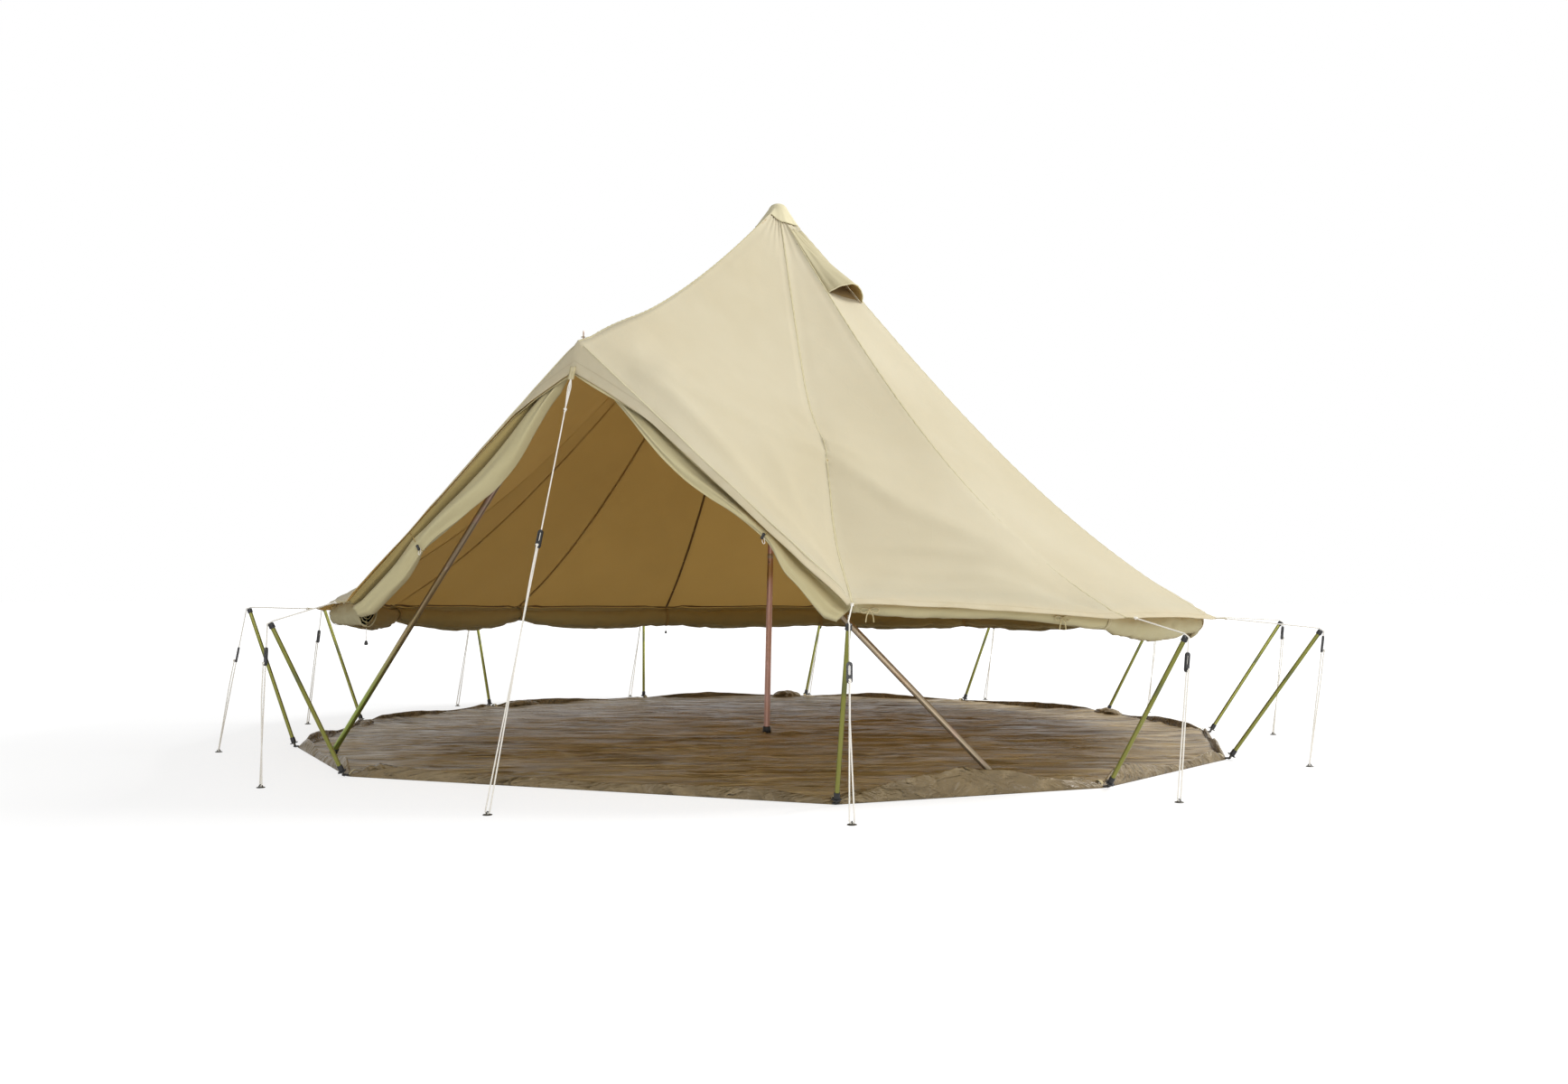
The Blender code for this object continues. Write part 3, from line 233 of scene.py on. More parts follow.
def linear(colour):
    """Turn an sRGB hex colour into linear red, green, blue and alpha."""
    values = []
    for k in (1, 3, 5):
        channel = int(colour[k:k + 2], 16) / 255.0
        values.append(channel / 12.92 if channel <= 0.04045 else ((channel + 0.055) / 1.055) ** 2.4)
    return (*values, 1.0)


def add(tree, kind, settings=(), output=0):
    """Add a shader node and give back one of its outputs.

    A setting goes to an attribute or an input: a socket is linked, a hex colour is made linear.
    """
    made = tree.nodes.new("ShaderNode" + kind)
    for key, value in dict(settings).items():
        if isinstance(value, bpy.types.NodeSocket):
            tree.links.new(value, made.inputs[key])
        elif isinstance(key, str) and hasattr(made, key):
            setattr(made, key, value)
        else:
            made.inputs[key].default_value = linear(value) if isinstance(value, str) else value
    return made.outputs[output]


class Look:
    """A material being made, with short ways to add nodes to it. Places and sizes are in metres."""

    def __init__(self, name, settings):
        self.material = bpy.data.materials.new(name)
        self.material.use_nodes = True
        self.tree = self.material.node_tree
        self.shader = self.tree.nodes["Principled BSDF"]
        self.solid = self.add("TexCoord", (), "Object")
        for key, value in settings.items():
            self.shader.inputs[key].default_value = linear(value) if isinstance(value, str) else value

    def add(self, kind, settings=(), output=0):
        return add(self.tree, kind, settings, output)

    def uv(self, name="cloth"):
        return self.add("UVMap", {"uv_map": name})

    def axis(self, place, number):
        return self.add("SeparateXYZ", {0: place}, number)

    def math(self, operation, first, second=0.0):
        return self.add("Math", {"operation": operation, 0: first, 1: second})

    def stretch(self, value, low, high, to_low=0.0, to_high=1.0):
        """Map a socket's range onto another one, clamped."""
        return self.add("MapRange", {0: value, 1: low, 2: high, 3: to_low, 4: to_high})

    def mix(self, share, first, second):
        """Mix two colours, each a socket or a hex string."""
        return self.add("Mix", {"data_type": "RGBA", 0: share, 6: first, 7: second}, 2)

    def tint(self, colour, tone, mask, strength):
        """Shift a colour towards a tone by a mask and a strength."""
        return self.mix(self.math("MULTIPLY", mask, strength), colour, tone)

    def speckle(self, place, scale, detail=3.0, roughness=0.55, squeeze=(1.0, 1.0, 1.0), twist=0.0):
        """Noise at a scale per metre, stretched along an axis if asked."""
        mapped = self.add("Mapping", {"Scale": squeeze, "Vector": place})
        return self.add("TexNoise", {"Scale": scale, "Detail": detail, "Roughness": roughness,
                                     "Distortion": twist, "Vector": mapped})

    def bands(self, place, direction, period):
        """Stripes with a period."""
        return self.add("TexWave", {"bands_direction": direction, "Scale": math.pi / 10 / period,
                                    "Vector": place}, "Fac")

    def plain_weave(self, flat, spacing):
        """Over-and-under weave, with threads at a spacing."""
        return self.math("MULTIPLY", *(self.bands(flat, direction, 2 * spacing) for direction in ("X", "Y")))

    def distance_from(self, value, place):
        return self.math("ABSOLUTE", self.math("SUBTRACT", value, place))

    def stitch_line(self, distance, along, place, pitch):
        """A row of stitches at a distance from an edge: 1 on the thread."""
        line = self.stretch(self.distance_from(distance, place), 0.0006, 0.0014, 1.0, 0.0)
        step = self.math("FRACT", self.math("DIVIDE", along, pitch))
        return self.math("MULTIPLY", line, self.math("LESS_THAN", step, 0.72))

    def surface(self, shader):
        """Put another shader in the Principled one's place."""
        self.tree.links.new(shader, self.tree.nodes["Material Output"].inputs["Surface"])

    def finish(self, colour, heights, roughness=None):
        """Link the colour, the roughness and a chain of bumps: (height, distance, strength) each."""
        self.tree.links.new(colour, self.shader.inputs["Base Color"])
        if roughness is not None:
            self.tree.links.new(roughness, self.shader.inputs["Roughness"])
        under = {}
        for height, distance, strength in heights:
            bump = self.add("Bump", {"Height": height, "Distance": distance, "Strength": strength, **under})
            under = {"Normal": bump}
        self.tree.links.new(bump, self.shader.inputs["Normal"])
        return self.material


def cotton_canvas(name, light, dark, sewn=False, shine_through=None, share_through=0.35, shaded=None):
    """Proofed cotton canvas, plain woven: matt, with slubs, faint folds and a soft nap.

    The threads lie 0.5 mm apart in the real cloth; 2 mm is the finest that shows here.
    Daylight soaks through one layer and leaves it warm brown. A shaded tone is for the side of a
    roll that faces the tent's middle, where only that brown light falls.
    """
    look = Look(name, {"Roughness": 0.92, "Specular IOR Level": 0.2, "Sheen Weight": 0.08,
                       "Sheen Roughness": 0.6})
    flat = look.uv()
    slubs = look.speckle(flat, 160.0, 2.0, 0.5, (1.0, 0.09, 1.0))
    weft = look.speckle(flat, 160.0, 2.0, 0.5, (0.09, 1.0, 1.0))
    clouds = look.speckle(look.solid, 1.1, 4.0)
    flecks = look.speckle(look.solid, 90.0, 2.0, 0.7)
    wander = look.add("TexNoise", {"Scale": 2.2, "Detail": 2.0, "Vector": look.solid}, "Color")
    strayed = look.add("VectorMath", {"operation": "ADD", 0: look.solid, 1: wander})
    cells = look.add("TexVoronoi", {"feature": "DISTANCE_TO_EDGE", "Scale": 3.4, "Vector": strayed})
    crease = look.stretch(cells, 0.0, 0.035, 1.0, 0.0)
    colour = look.mix(look.stretch(clouds, 0.3, 0.7), dark, light)
    colour = look.tint(colour, dark, look.stretch(slubs, 0.35, 0.75), 0.16)
    colour = look.tint(colour, light, look.stretch(weft, 0.35, 0.75), 0.12)
    colour = look.tint(colour, "#8d7a52", look.stretch(flecks, 0.62, 0.8), 0.10)
    heights = [(look.plain_weave(flat, 0.002), 0.0004, 0.35), (slubs, 0.0004, 0.25), (crease, 0.0010, 0.22)]
    if sewn:
        from_edge = look.axis(look.uv("edges"), 1)
        hem = look.stitch_line(from_edge, look.axis(flat, 0), 0.046, 0.006)
        shade = look.stretch(look.distance_from(from_edge, 0.047), 0.0, 0.004, 1.0, 0.0)
        # Painted shade: the cloth turns darker and mottled towards its lower edge, over the last 12 cm.
        painted_hem_shade = look.math("MULTIPLY", look.stretch(from_edge, 0.0, 0.12, 0.22, 0.0),
                          look.stretch(look.speckle(look.solid, 14.0, 4.0), 0.4, 0.7))
        colour = look.tint(colour, "#8a774b", shade, 0.38)
        colour = look.tint(colour, "#e9e1c6", hem, 0.6)
        colour = look.mix(painted_hem_shade, colour, "#a8966b")
        heights += [(hem, 0.0008, 0.6), (shade, -0.0008, 0.6)]
    # The shaded tone is painted shade, laid on where the side map's first number is high.
    if shaded:
        colour = look.mix(look.stretch(look.axis(look.uv("side"), 0), 0.2, 0.8), colour, shaded)
    if shine_through:
        veil = look.add("BsdfTranslucent", {"Color": shine_through})
        look.surface(look.add("MixShader", {0: share_through, 1: look.shader.outputs[0], 2: veil}))
    return look.finish(colour, heights)


def webbing(name, light, dark, stitch_and_shade_tone="#efe8d2"):
    """Woven cotton tape: ribbed across, with a row of stitches down each side. A dark stitch tone also stands
    for painted shade along a seam's edges.
    """
    look = Look(name, {"Roughness": 0.9, "Specular IOR Level": 0.3, "Sheen Weight": 0.1})
    flat = look.uv()
    rib = look.bands(flat, "Y", 0.002)
    patches = look.speckle(look.solid, 25.0)
    across = look.math("ABSOLUTE", look.axis(flat, 0))
    thread = look.stitch_line(across, look.axis(flat, 1), 0.0045, 0.005)
    colour = look.mix(look.stretch(patches, 0.3, 0.7), dark, light)
    colour = look.tint(colour, dark, rib, 0.18)
    colour = look.tint(colour, stitch_and_shade_tone, thread, 0.5)
    return look.finish(colour, [(rib, 0.0003, 0.4), (thread, 0.0006, 0.6)])


def coated_sheet(name, light, dark, sheen_and_dust_tone):
    """PVC-coated woven groundsheet: a satin skin over a coarse weave, creased where it was folded. Its
    wrinkles' crests are painted lighter and their fine creases darker: painted highlight and painted shade.
    """
    look = Look(name, {"Specular IOR Level": 0.4, "Coat Weight": 0.05, "Coat Roughness": 0.30})
    along = look.add("Mapping", {"Rotation": (0, 0, math.radians(-20)), "Vector": look.solid})
    wrinkles = []
    for scale, squeeze in ((3.4, (0.22, 1.5, 1.0)), (8.5, (0.20, 1.4, 1.0)), (17.0, (0.14, 1.2, 1.0))):
        mapped = look.add("Mapping", {"Scale": squeeze, "Vector": along})
        wrinkles.append(look.add("TexNoise", {
            "noise_type": "RIDGED_MULTIFRACTAL", "Scale": scale, "Detail": 4.0, "Roughness": 0.55,
            "Lacunarity": 2.1, "Offset": 1.0, "Gain": 1.6, "Distortion": 0.5, "Vector": mapped}))
    broad, middle, fine = wrinkles
    dust = look.speckle(look.solid, 3.2, 4.0, 0.6)
    # Lighter on the broad and middle wrinkles' crests, painted highlight; darker in the fine creases, painted
    # shade; the dust patches take the same pale tone.
    colour = look.mix(look.stretch(broad, 0.3, 1.7), dark, light)
    colour = look.tint(colour, sheen_and_dust_tone, look.stretch(middle, 1.1, 2.0), 0.85)
    colour = look.tint(colour, dark, look.stretch(fine, 0.9, 0.2), 0.75)
    colour = look.tint(colour, sheen_and_dust_tone, look.stretch(dust, 0.45, 0.75), 0.30)
    return look.finish(colour, [(broad, 0.020, 1.0), (middle, 0.010, 1.0), (fine, 0.003, 0.8),
                                (look.plain_weave(look.solid, 0.003), 0.0004, 0.2)],
                       look.stretch(dust, 0.3, 0.7, 0.30, 0.50))


def passivated_steel(name, tones, along_scale, low_tone=None):
    """Zinc-plated steel tube, chromate passivated: a thin film whose hue drifts along the tube.

    A low tone is the film's hue near the ground, on a leg that stands in the wet.
    """
    look = Look(name, {"Metallic": 0.85})
    drift = look.speckle(look.solid, along_scale, twist=0.8)
    colour = look.add("ValToRGB", {0: look.stretch(drift, 0.28, 0.72)})
    elements = colour.node.color_ramp.elements
    while len(elements) < len(tones):
        elements.new(0.5)
    for k, tone in enumerate(tones):
        elements[k].position = k / (len(tones) - 1)
        elements[k].color = linear(tone)
    drawn = look.speckle(look.solid, 420.0, 2.0, 0.5, (1.0, 1.0, 0.02))
    scuffs = look.speckle(look.solid, 60.0, 5.0, 0.7)
    if low_tone:
        colour = look.mix(look.stretch(look.axis(look.solid, 2), 0.62, 0.28), colour, low_tone)
    colour = look.tint(colour, "#c9c2a8", look.stretch(scuffs, 0.6, 0.78), 0.35)
    return look.finish(colour, [(drawn, 0.0002, 0.3), (scuffs, 0.0002, 0.3)],
                       look.stretch(scuffs, 0.3, 0.75, 0.30, 0.52))


def plated_steel(name, tone, roughness):
    """Zinc-plated steel for small fittings: dull grey, a little stained."""
    look = Look(name, {"Metallic": 0.9})
    stain = look.speckle(look.solid, 120.0, 4.0, 0.6)
    return look.finish(look.mix(look.stretch(stain, 0.35, 0.7), tone, "#4a463c"), [(stain, 0.0003, 0.3)],
                       look.stretch(stain, 0.3, 0.7, roughness, roughness + 0.2))


def moulded_plastic(name, tone):
    """Injection-moulded polypropylene: satin black with a fine spark-eroded grain and worn edges."""
    look = Look(name, {"Specular IOR Level": 0.5})
    grain = look.speckle(look.solid, 900.0, 2.0, 0.5)
    rub = look.speckle(look.solid, 70.0, 4.0, 0.65)
    return look.finish(look.tint(tone, "#4c4b49", look.stretch(rub, 0.55, 0.8), 0.35), [(grain, 0.0001, 0.4)],
                       look.stretch(rub, 0.3, 0.75, 0.38, 0.58))


def braided_rope(name, light, dark):
    """Braided cotton guy line: crossing strands 1.4 mm wide, a little fluffy."""
    look = Look(name, {"Roughness": 0.85, "Specular IOR Level": 0.3, "Sheen Weight": 0.2})
    flat = look.uv()
    strands = []
    for lean in (1.0, -1.0):
        leaning = look.add("Mapping", {"Rotation": (0, 0, lean * math.radians(32)), "Vector": flat})
        strands.append(look.bands(leaning, "Y", 0.0028))
    braid = look.math("MAXIMUM", *strands)
    fluff = look.speckle(look.solid, 300.0)
    # Lighter on the strands' crests and darker in the grooves between them: painted shade.
    colour = look.mix(look.stretch(braid, 0.35, 0.95), dark, light)
    colour = look.tint(colour, dark, look.stretch(fluff, 0.45, 0.75), 0.25)
    return look.finish(colour, [(braid, 0.0006, 0.8), (fluff, 0.0002, 0.4)])


CANVAS_OUTSIDE = cotton_canvas("cotton_canvas_outside", "#dad4bb", "#d0c8ab", True, "#f0e6c8", 0.30)
# The inside faces get a browner, darker copy of the outside canvas: painted shade of the tent's interior, on
# top of the light that shines through.
CANVAS_INSIDE_PAINTED_SHADE = cotton_canvas("cotton_canvas_inside_painted_shade", "#c5aa6b", "#b5995b", False, "#e9c884", 0.50)
CANVAS_CAP = cotton_canvas("cotton_canvas_cap", "#d2caa9", "#c8bf9d")
CANVAS_VENT = cotton_canvas("cotton_canvas_vent", "#cfc7a4", "#c3ba96", False, "#e8d29c", 0.25)
# The hood's inner face gets a darker brown copy of the vent canvas: painted shade under the hood.
CANVAS_VENT_INSIDE_PAINTED_SHADE = cotton_canvas("cotton_canvas_vent_inside_painted_shade", "#a89462", "#978355", False, "#b89a66", 0.20)
# Its shaded tone is painted shade, laid where the side map marks it on the rolled wall and the door flaps.
CANVAS_ROLLED = cotton_canvas("cotton_canvas_rolled", "#c6bd96", "#b6ab82", shaded="#a2915f")
# A darker brown copy of the rolled canvas: painted shade, for the ties round the back of the rolled wall and
# the loops of the door ties.
CANVAS_ROLLED_PAINTED_SHADE = cotton_canvas("cotton_canvas_rolled_painted_shade", "#a98e58", "#957d4a")
CANVAS_TAPE = webbing("cotton_webbing", "#c6bb95", "#b3a67c")
# Its darker stitch tone is partly the thread and partly painted shade: the thin shadow line along each seam.
SEAM_TAPE = webbing("cotton_seam_tape", "#c4bb98", "#bab08b", "#978962")
# A dark brown copy of the seam tape for seams seen from inside: painted shade of the interior, darker still
# where the doubled seam lets less light through.
INSIDE_TAPE_PAINTED_SHADE = webbing("inside_seam_tape", "#84683a", "#735830", "#634b29")
VENT_NET = cotton_canvas("vent_netting", "#9a7f4e", "#86703f")
# Its light and pale tones are partly painted highlight on the wrinkles.
GROUNDSHEET = coated_sheet("coated_groundsheet", "#8a7650", "#54442b", "#c0ab82")
# The wall gets a lighter, flatter copy of the groundsheet: painted light on its outer face, against the
# floor's darker copy under the tent.
GROUNDSHEET_WALL_PAINTED_LIGHT = coated_sheet("coated_groundsheet_wall_painted_light", "#7f6d4c", "#695a3f", "#938160")
POLE_STEEL = passivated_steel("yellow_passivated_steel", ("#676a43", "#7b7c3b", "#858547", "#6c6d53"), 3.0)
CENTRE_STEEL = passivated_steel("bronze_passivated_steel",
                                ("#98723f", "#b28a74", "#c0988c", "#a67c5c", "#8a6a44"), 1.6)
GREEN_LEG_STEEL = passivated_steel("green_passivated_steel",
                                   ("#8c7154", "#9a8a62", "#a08a70", "#7d6a50"), 2.2, "#8c9a4e")
LEG_STEEL = passivated_steel("iridescent_passivated_steel",
                             ("#8c7154", "#a3917a", "#988a74", "#aa8c80", "#7d6a50"), 3.2)
FITTING_STEEL = plated_steel("plated_steel_fitting", "#7c7a74", 0.35)
ANCHOR_STEEL = plated_steel("dark_anchor_steel", "#5a5955", 0.45)
BRASS = plated_steel("brass_eyelet", "#9a8347", 0.3)
BLACK_PLASTIC = moulded_plastic("moulded_polypropylene", "#1c1c1d")
ROPE = braided_rope("braided_cotton_rope", "#fbf8f0", "#dcd6c8")


# Making meshes

def mesh_of(points, faces, uv_maps):
    """Smooth mesh of points and faces, with a pair for each corner of its faces in each named UV map."""
    mesh = bpy.data.meshes.new("shape")
    mesh.from_pydata(points, [], faces)
    for name, pairs in uv_maps.items():
        layer = mesh.uv_layers.new(name=name)
        for slot, pair in zip(layer.data, pairs):
            slot.uv = pair
    mesh.shade_smooth()
    return mesh


def skin(rows, uv, wrap=False, caps=False, flip=False, uv_names=("cloth",)):
    """Mesh of quads through rows of points; uv(row, place) gives a pair for each UV map."""
    count, last = len(rows[0]), len(rows) - 1
    faces = []
    for i in range(last):
        for j in range(count if wrap else count - 1):
            face = [(i, j), (i + 1, j), (i + 1, j + 1), (i, j + 1)]
            faces.append([face[k] for k in (0, 3, 2, 1)] if flip else face)
    if caps:
        faces += [[(0, j) for j in range(count)], [(last, j) for j in reversed(range(count))]]
    corners = [uv(*corner) for face in faces for corner in face]
    uv_maps = {name: [pairs[2 * k:2 * k + 2] for pairs in corners] for k, name in enumerate(uv_names)}
    return mesh_of([point for row in rows for point in row],
                   [[i * count + j % count for i, j in face] for face in faces], uv_maps)


def outward(mesh):
    """Turn a closed mesh's faces outward."""
    shape = bmesh.new()
    shape.from_mesh(mesh)
    bmesh.ops.recalc_face_normals(shape, faces=shape.faces)
    shape.to_mesh(mesh)
    shape.free()
    mesh.shade_smooth()
    return mesh


def piece(name, mesh, materials, stands_for=(), body="tent", matrix=None):
    """Link a mesh as a piece that rides on a body and stands for nodes of the frame."""
    if mesh.users == 0:
        mesh.name = name
    made = bpy.data.objects.new(name, mesh)
    bpy.context.scene.collection.objects.link(made)
    if not mesh.materials:
        for material in materials:
            mesh.materials.append(material)
    if matrix is not None:
        made.matrix_world = matrix
    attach(made, body)
    if stands_for:
        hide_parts(*stands_for)
    return made


def thicken(made, thickness, inner=0, side=0.0):
    """Give a sheet its thickness: about its middle, or with side -1 all on the back of its faces."""
    solidify = made.modifiers.new("cloth thickness", "SOLIDIFY")
    solidify.thickness = thickness
    solidify.offset = side
    solidify.material_offset = inner
    solidify.material_offset_rim = 0
    return made


def merged(parts):
    """Join (mesh, matrix, material) parts into one mesh, keeping their UV maps."""
    shape = bmesh.new()
    materials = []
    for mesh, matrix, material in parts:
        if material not in materials:
            materials.append(material)
        joined = mesh.copy()
        if matrix is not None:
            joined.transform(matrix)
        joined.polygons.foreach_set("material_index", [materials.index(material)] * len(joined.polygons))
        shape.from_mesh(joined)
        bpy.data.meshes.remove(joined)
    mesh = bpy.data.meshes.new("shape")
    shape.to_mesh(mesh)
    shape.free()
    for material in materials:
        mesh.materials.append(material)
    mesh.shade_smooth()
    mesh.set_sharp_from_angle(angle=math.radians(50))
    return mesh


def frame_at(origin, along, across=BACK):
    """Matrix whose Z runs along a direction, with Y as near as can be to another."""
    z_axis = along.normalized()
    x_axis = across.cross(z_axis).normalized()
    y_axis = z_axis.cross(x_axis)
    return Matrix.Translation(origin) @ Matrix((x_axis, y_axis, z_axis)).transposed().to_4x4()


def run_lengths(points):
    """How far along a line of points each one lies."""
    lengths = [0.0]
    for before, after in zip(points, points[1:]):
        lengths.append(lengths[-1] + (after - before).length)
    return lengths


def turned(profile, sides=28):
    """Spin a profile of (radius, height) points about Z."""
    rows = [[radial(turn) * r + UP * z for turn in angles(sides)] for r, z in profile]
    lengths = run_lengths([Vector(point) for point in profile])
    girth = 2 * math.pi * max(r for r, z in profile)
    return outward(skin(rows, lambda i, j: (girth * j / sides, lengths[i]), wrap=True, caps=True))


def swept(points, radius, sides=8):
    """Round tube along a line of points; radius is a number or one for each point."""
    sizes = radius if hasattr(radius, "__len__") else [radius] * len(points)
    last = len(points) - 1
    tangents = [(points[min(last, k + 1)] - points[max(0, k - 1)]).normalized() for k in range(last + 1)]
    side_axis = tangents[0].orthogonal().normalized()
    rows = []
    for point, tangent, size in zip(points, tangents, sizes):
        side_axis = (side_axis - tangent * side_axis.dot(tangent)).normalized()
        other = tangent.cross(side_axis)
        rows.append([point + (side_axis * math.cos(turn) + other * math.sin(turn)) * size
                     for turn in angles(sides)])
    lengths = run_lengths(points)
    girth = 2 * math.pi * max(sizes)
    return outward(skin(rows, lambda i, j: (girth * j / sides, lengths[i]), wrap=True, caps=True))


def smooth_line(knots, steps, closed=False):
    """Points on a smooth curve through some knots."""
    count = len(knots)
    points = []
    for k in range(count if closed else count - 1):
        if closed:
            a, b, c, d = (knots[(k + off) % count] for off in (-1, 0, 1, 2))
        else:
            a, b, c, d = (knots[max(0, min(count - 1, k + off))] for off in (-1, 0, 1, 2))
        for step in range(steps):
            t = step / steps
            points.append(0.5 * ((2 * b) + (c - a) * t + (2 * a - 5 * b + 4 * c - d) * t * t
                                 + (3 * b - a - 3 * c + d) * t ** 3))
    return points if closed else points + [knots[-1].copy()]


# Layout, as in the frame

def radial(azimuth):
    return Vector((math.cos(azimuth), math.sin(azimuth), 0.0))


def sideways(azimuth):
    return Vector((-math.sin(azimuth), math.cos(azimuth), 0.0))


def pole_azimuth(i):
    """Azimuth of a side pole, counted from the doorway's right-hand pole round the back."""
    return -math.pi / 2 + DOOR_SPAN / 2 + i * POLE_STEP


def corner_shift(i):
    return 0.0 if i in (0, SIDE_POLES - 1) else EAVE_SHIFTS[i - 1]


def pole_axis(i):
    out = math.sin(math.radians(POLE_LEANS[i]))
    swing = corner_shift(i) / POLE_LENGTH
    azimuth = pole_azimuth(i)
    return radial(azimuth) * out + sideways(azimuth) * swing + UP * math.sqrt(1 - out ** 2 - swing ** 2)


def pole_foot(i):
    return radial(pole_azimuth(i)) * FOOT_CIRCLE + UP * 0.003 * math.sqrt(1 - pole_axis(i).z ** 2)


def pole_top(i):
    return pole_foot(i) + pole_axis(i) * POLE_LENGTH


def eave_corner(i):
    """Corner of the eave at a side pole; the first and last are the doorway's."""
    if i in (0, SIDE_POLES - 1):
        side = 1 if i == 0 else -1
        x = side * DOOR_CORNER[0] + PEAK_SHIFT.x * EAVE_FOLLOW * (1 - side) / 2
        return Vector((x, -GABLE_FRONT, DOOR_CORNER[1]))
    azimuth = pole_azimuth(i)
    level = radial(azimuth) * EAVE_REACHES[i - 1] + sideways(azimuth) * corner_shift(i)
    return PEAK_SHIFT * EAVE_FOLLOW + level + UP * EAVE_HEIGHTS[i - 1]


def door_corner(side):
    return eave_corner(0 if side > 0 else SIDE_POLES - 1)


def seam_point(end, share, sag, fullness):
    """Point at a share of the way down a seam that sags from the peak to its end."""
    point = PEAK.lerp(end, share)
    lowest = fullness / (fullness + 1)
    point.z -= sag * share ** fullness * (1 - share) / (lowest ** fullness * (1 - lowest))
    return point


def seam_line(i):
    """A seam as a function of the share of the way down it; -1 and 12 are the ridge."""
    if i in (-1, SIDE_POLES):
        return lambda share: seam_point(GABLE_APEX, share, RIDGE_SAG, 1.2)
    corner = eave_corner(i)
    if i != 1:
        return lambda share: seam_point(corner, share, ROOF_SAG, 1.5)
    bow = (eave_corner(0) - corner).normalized() * SEAM_BOW
    return lambda share: (seam_point(corner, share, ROOF_SAG, 1.5)
                          + bow * math.sin(math.pi * clamp(share)) ** 0.5)


SEAMS = [seam_line(i) for i in range(-1, SIDE_POLES + 1)]   # panel p lies between seams p and p + 1


def panel_width(p, share):
    return (SEAMS[p + 1](share) - SEAMS[p](share)).length


def roof_base(p, across, share):
    """Point of the roof without its folds."""
    point = SEAMS[p](share).lerp(SEAMS[p + 1](share), across)
    inward = PEAK_SHIFT - point
    inward.z = 0.0
    return point + inward.normalized() * PANEL_HOLLOW * math.sin(math.pi * across) * math.sin(math.pi * share)


def is_gable(p):
    return p in (0, SIDE_POLES)


def panel_steps(p):
    return FRONT_STEPS if is_gable(p) else SIDE_STEPS


def from_ridge(p, across):
    """How far across a gable panel a point lies, from 0 on the ridge to 1 at the doorway's corner."""
    return across if p == 0 else 1 - across


def hem_share(p, across):
    """The hem's share of the way down the roof, which runs out towards the gable's ridge."""
    return HEM_SHARE * (from_ridge(p, across) ** 2 if is_gable(p) else 1.0)


def row_share(i, hem=HEM_SHARE):
    """Share of the way down the roof at one of the sheet's rows."""
    return COLLAR_SHARE + (1 - hem - COLLAR_SHARE) * min(i, ROOF_ROWS) / ROOF_ROWS


def row_place(share):
    """The other way round: where a share of the way down lies among the rows."""
    return (share - COLLAR_SHARE) / (1 - HEM_SHARE - COLLAR_SHARE) * ROOF_ROWS


def gable_drop(off, side):
    """Depth of the valance: a triangle at the apex that runs out into a narrow strip."""
    if side < 0:
        return LEFT_STRIP + (VALANCE_DEPTH - LEFT_STRIP) * max(0.0, 1 - off / VALANCE_TAPER[1])
    strip = GABLE_STRIP[0] + (GABLE_STRIP[1] - GABLE_STRIP[0]) * off
    return strip + (VALANCE_DEPTH - strip) * max(0.0, 1 - off / VALANCE_TAPER[0]) ** 1.3


def roof_edge(p, across):
    """Lower edge of the roof sheet: the eave's hem, or the valance under the gable."""
    point = roof_base(p, across, 1.0)
    if is_gable(p):
        off = from_ridge(p, across)
        side = 1 if p == 0 else -1
        drop = gable_drop(off, side)
        point += radial(-math.pi / 2 + side * DOOR_SPAN / 2 * off) * VALANCE_FLARE * drop - UP * drop
    return point


# Long soft folds that the guys draw across the roof beside the doorway: places as (panels across from
# the ridge, metres up from the lower edge), then the fold's half width above and below, and its height.
MAIN_FOLD = ((0.04, 0.05), (0.15, 0.24), (0.29, 0.34), (0.45, 0.54), (0.64, 0.79), (0.81, 1.01), (1.03, 1.21),
             (1.21, 1.02), (1.48, 0.76), (1.65, 0.57), (1.79, 0.35), (1.89, 0.22))
DRAG_FOLDS = (
    (MAIN_FOLD, 0.36, 0.30, 0.074),
    (MAIN_FOLD, 0.10, 0.040, 0.012),
    (((1.10, 1.10), (1.175, 1.06), (1.40, 0.74), (1.52, 0.62)), 0.045, 0.018, 0.010),
    (((1.02, 0.20), (1.24, 0.17), (1.55, 0.17), (1.95, 0.10)), 0.050, 0.018, 0.014),
    (((1.10, 0.32), (1.40, 0.28), (1.60, 0.24), (1.88, 0.14)), 0.045, 0.018, 0.010),
    (((1.05, 0.52), (1.30, 0.50), (1.55, 0.44), (1.80, 0.30)), 0.060, 0.025, 0.009),
    (((0.30, 0.16), (0.55, 0.26), (0.78, 0.26), (0.94, 0.10)), 0.080, 0.030, 0.013),
    (((0.10, 0.10), (0.30, 0.18), (0.60, 0.26)), 0.060, 0.024, 0.010),
    (((0.55, 0.70), (0.75, 0.62), (0.92, 0.30)), 0.080, 0.035, 0.011),
    (((0.86, 1.45), (1.02, 1.30), (1.20, 1.24), (1.40, 1.02)), 0.060, 0.025, 0.009),
)


def drag_lines():
    """The drag folds as lines in space, each with its length, its widths and its height."""
    lines = []
    for places, above, below, size in DRAG_FOLDS:
        spots = [roof_base(int(panels), panels % 1, 1 - up / SEAM_LENGTH) for panels, up in places]
        lines.append((spots, run_lengths(spots)[-1], above, below, size))
    return lines


DRAG_LINES = drag_lines()


